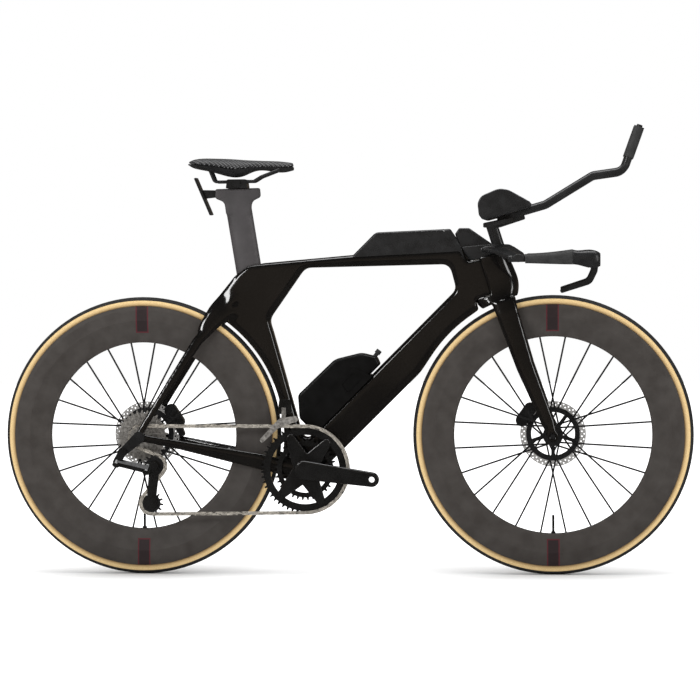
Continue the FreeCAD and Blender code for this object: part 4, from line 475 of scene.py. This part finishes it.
def moulded(name, body, slot, material, source, voxel, rounds):
    """A seamless moulding in place of a CAD node: remeshed as one skin and relaxed."""
    obj = copied(name, source)
    remeshed(obj, voxel)
    relaxed(obj, rounds)
    stand_in(obj, body, slot, material, source)


def frame_moulding():
    """Main frame and stays as one skin, rounder than the solids, with full shoulders where they meet."""
    body = copied("frame_moulding", "main_frame")
    remeshed(body, voxel=0.003)
    relaxed(body, rounds=14)
    stays = copied("stays", "rear_triangle")
    remeshed(stays, voxel=0.002)
    relaxed(stays, rounds=4)
    merged(body, stays)
    for side in (-1.0, 1.0):
        for shape in SWELLINGS:
            swelling(body, side, **shape)
    slab(body, HIP_FILL, HIP_FILL_HALF)
    remeshed(body, voxel=0.0025)
    relaxed(body, rounds=4)
    relaxed(body, HIP_ROUNDS, HIP, HIP_REACH)
    stand_in(body, "chassis", "gloss_carbon", GLOSS, "main_frame", "rear_triangle")


def cushion(name, body, slot, material, source, voxel, inset, pressure, cap):
    """A padded piece: the solid drawn in by inset, then blown up as cloth. No point moves more than cap."""
    obj = copied(name, source)
    remeshed(obj, voxel)
    rest = [vertex.co.copy() for vertex in obj.data.vertices]
    normals = [vertex.normal.copy() for vertex in obj.data.vertices]
    for vertex, normal in zip(obj.data.vertices, normals):
        vertex.co -= normal * inset
    swelled = blown_up(obj, pressure)
    for vertex, start, end in zip(obj.data.vertices, rest, swelled):
        move = end - start
        if move.length > cap:
            move *= cap / move.length
        vertex.co = start + move
    scene.frame_set(1)
    relaxed(obj, rounds=2)
    finer = obj.modifiers.new("finer", "SUBSURF")
    finer.levels = 1
    apply_all(obj)
    stand_in(obj, body, slot, material, source)


frame_moulding()
moulded("fork_moulding", "steering", "gloss_carbon", GLOSS, "fork", voxel=0.0025, rounds=4)
moulded("post_moulding", "seat", "satin_carbon", POST, "seatpost", voxel=0.002, rounds=8)
moulded("bar_moulding", "steering", "satin_carbon", SATIN, "base_bar", voxel=0.0018, rounds=4)
moulded("cup_mouldings", "arm_rest", "black_plastic", PLASTIC, "arm_cups", voxel=0.0012, rounds=3)
moulded("crank_moulding", "crankset", "black_alloy", POLISH, "right_crank", voxel=0.0011, rounds=4)
cushion(
    "saddle_cushion", "seat", "saddle_cover", SADDLE, "saddle_pad",
    voxel=0.003, inset=0.0003, pressure=1.0, cap=0.0011)
cushion(
    "arm_cushions", "arm_rest", "pad_foam", FOAM, "arm_pads",
    voxel=0.003, inset=0.0006, pressure=3.0, cap=0.0025)


# Stage

scene.view_settings.view_transform = "Standard"

WHITE = (1.0, 1.0, 1.0, 1.0)

# The camera's lens and sensor are in millimetres.

CAMERA_PLACE = Vector((0.53, -6.5, 0.80))
CAMERA_AIM = Vector((0.00817, 0.0, 0.54655))
CAMERA_ROLL = math.radians(-0.38)
CAMERA_LENS = 137.88
CAMERA_SENSOR = 36.0

FLOOR_HALF = 9.0

# Half lengths of the shaded floor round each wheel's contact, and the glow gained in it and past it

SHADE_ALONG = 0.34
SHADE_ACROSS = 0.20
NEAR_GLOW = 0.45
FAR_GLOW = 0.6


def add_camera():
    """The photograph's viewpoint."""
    data = bpy.data.cameras.new("camera")
    data.lens = CAMERA_LENS
    data.sensor_width = CAMERA_SENSOR
    camera = bpy.data.objects.new("camera", data)
    camera.location = CAMERA_PLACE
    look = (CAMERA_AIM - CAMERA_PLACE).to_track_quat("-Z", "Y")
    camera.rotation_mode = "QUATERNION"
    camera.rotation_quaternion = look @ Quaternion((0.0, 0.0, 1.0), CAMERA_ROLL)
    scene.collection.objects.link(camera)
    scene.camera = camera


def floor_material():
    """Pale floor, lit up to white away from the wheels and dim in the bike's gloss."""
    paint = Paint("floor_white")
    tone = paint.spread(paint.noise(3.0))
    paint.set(Base_Color=paint.blend(tone, (0.70, 0.70, 0.70), (0.72, 0.72, 0.72)))
    paint.set(Roughness=1.0, Specular_IOR_Level=0.0)
    along = paint.math("SUBTRACT", paint.math("ABSOLUTE", paint.axis("X")), FRONT_AXLE.x)
    along = paint.math("DIVIDE", along, SHADE_ALONG)
    across = paint.math("DIVIDE", paint.math("ABSOLUTE", paint.axis("Y")), SHADE_ACROSS)
    gap = paint.length(along, across)
    near = paint.ramp(gap, 0.1, 1.0, high=NEAR_GLOW)
    far = paint.ramp(gap, 1.0, 4.0, high=FAR_GLOW)
    paint.set(Emission_Color=WHITE, Emission_Strength=paint.math("ADD", near, far))
    dim = paint.node("ShaderNodeBsdfDiffuse", {"Color": (0.05, 0.045, 0.04, 1.0)})
    path = paint.node("ShaderNodeLightPath").outputs
    paint.show(paint.mixed(path["Is Glossy Ray"], paint.shader, dim), "Material Output")
    return paint.material


def add_floor():
    """A wide square under the wheels."""
    mesh = bpy.data.meshes.new("floor")
    corners = [(x * FLOOR_HALF, y * FLOOR_HALF, 0.0) for x, y in ((-1, -1), (1, -1), (1, 1), (-1, 1))]
    mesh.from_pydata(corners, [], [(0, 1, 2, 3)])
    floor = bpy.data.objects.new("floor", mesh)
    scene.collection.objects.link(floor)
    dress(floor, floor_material())


def area_light(name, place, target, width, height, power):
    """A lamp that shines on a target and isn't seen itself."""
    data = bpy.data.lights.new(name, "AREA")
    data.shape = "RECTANGLE"
    data.size = width
    data.size_y = height
    data.energy = power
    lamp = bpy.data.objects.new(name, data)
    lamp.visible_camera = False
    lamp.location = place
    lamp.rotation_mode = "QUATERNION"
    lamp.rotation_quaternion = (Vector(target) - Vector(place)).to_track_quat("-Z", "Y")
    scene.collection.objects.link(lamp)


def add_world():
    """White to the camera, soft light on the bike, and warm to dark upwards in its gloss."""
    scene.world = bpy.data.worlds.new("studio")
    scene.world.use_nodes = True
    sky = Graph(scene.world.node_tree)
    soft = sky.tree.nodes["Background"]
    sky.link(WHITE, soft.inputs["Color"])
    sky.link(0.6, soft.inputs["Strength"])
    seen = sky.node("ShaderNodeBackground", {"Color": WHITE, "Strength": 1.0})
    direction = sky.node("ShaderNodeTexCoord").outputs["Generated"]
    height = sky.node("ShaderNodeSeparateXYZ", {0: direction}).outputs["Z"]
    tint = sky.blend(sky.ramp(height, -0.05, 0.45), (0.16, 0.13, 0.10), (0.02, 0.02, 0.02))
    mirrored = sky.node("ShaderNodeBackground", {"Color": tint, "Strength": 1.0})
    path = sky.node("ShaderNodeLightPath").outputs
    lit = sky.mixed(path["Is Glossy Ray"], soft, mirrored)
    sky.show(sky.mixed(path["Is Camera Ray"], lit, seen), "World Output")


add_camera()
add_floor()
area_light("overhead", (0.0, -0.3, 3.0), target=(0.0, 0.0, 0.4), width=3.4, height=1.2, power=62.0)
area_light("side_box", (-2.2, -3.4, 1.9), target=(-0.2, 0.0, 0.6), width=0.9, height=0.9, power=34.0)
area_light("front_box", (2.6, -2.4, 1.4), target=(0.4, 0.0, 0.7), width=0.5, height=1.6, power=14.0)
add_world()
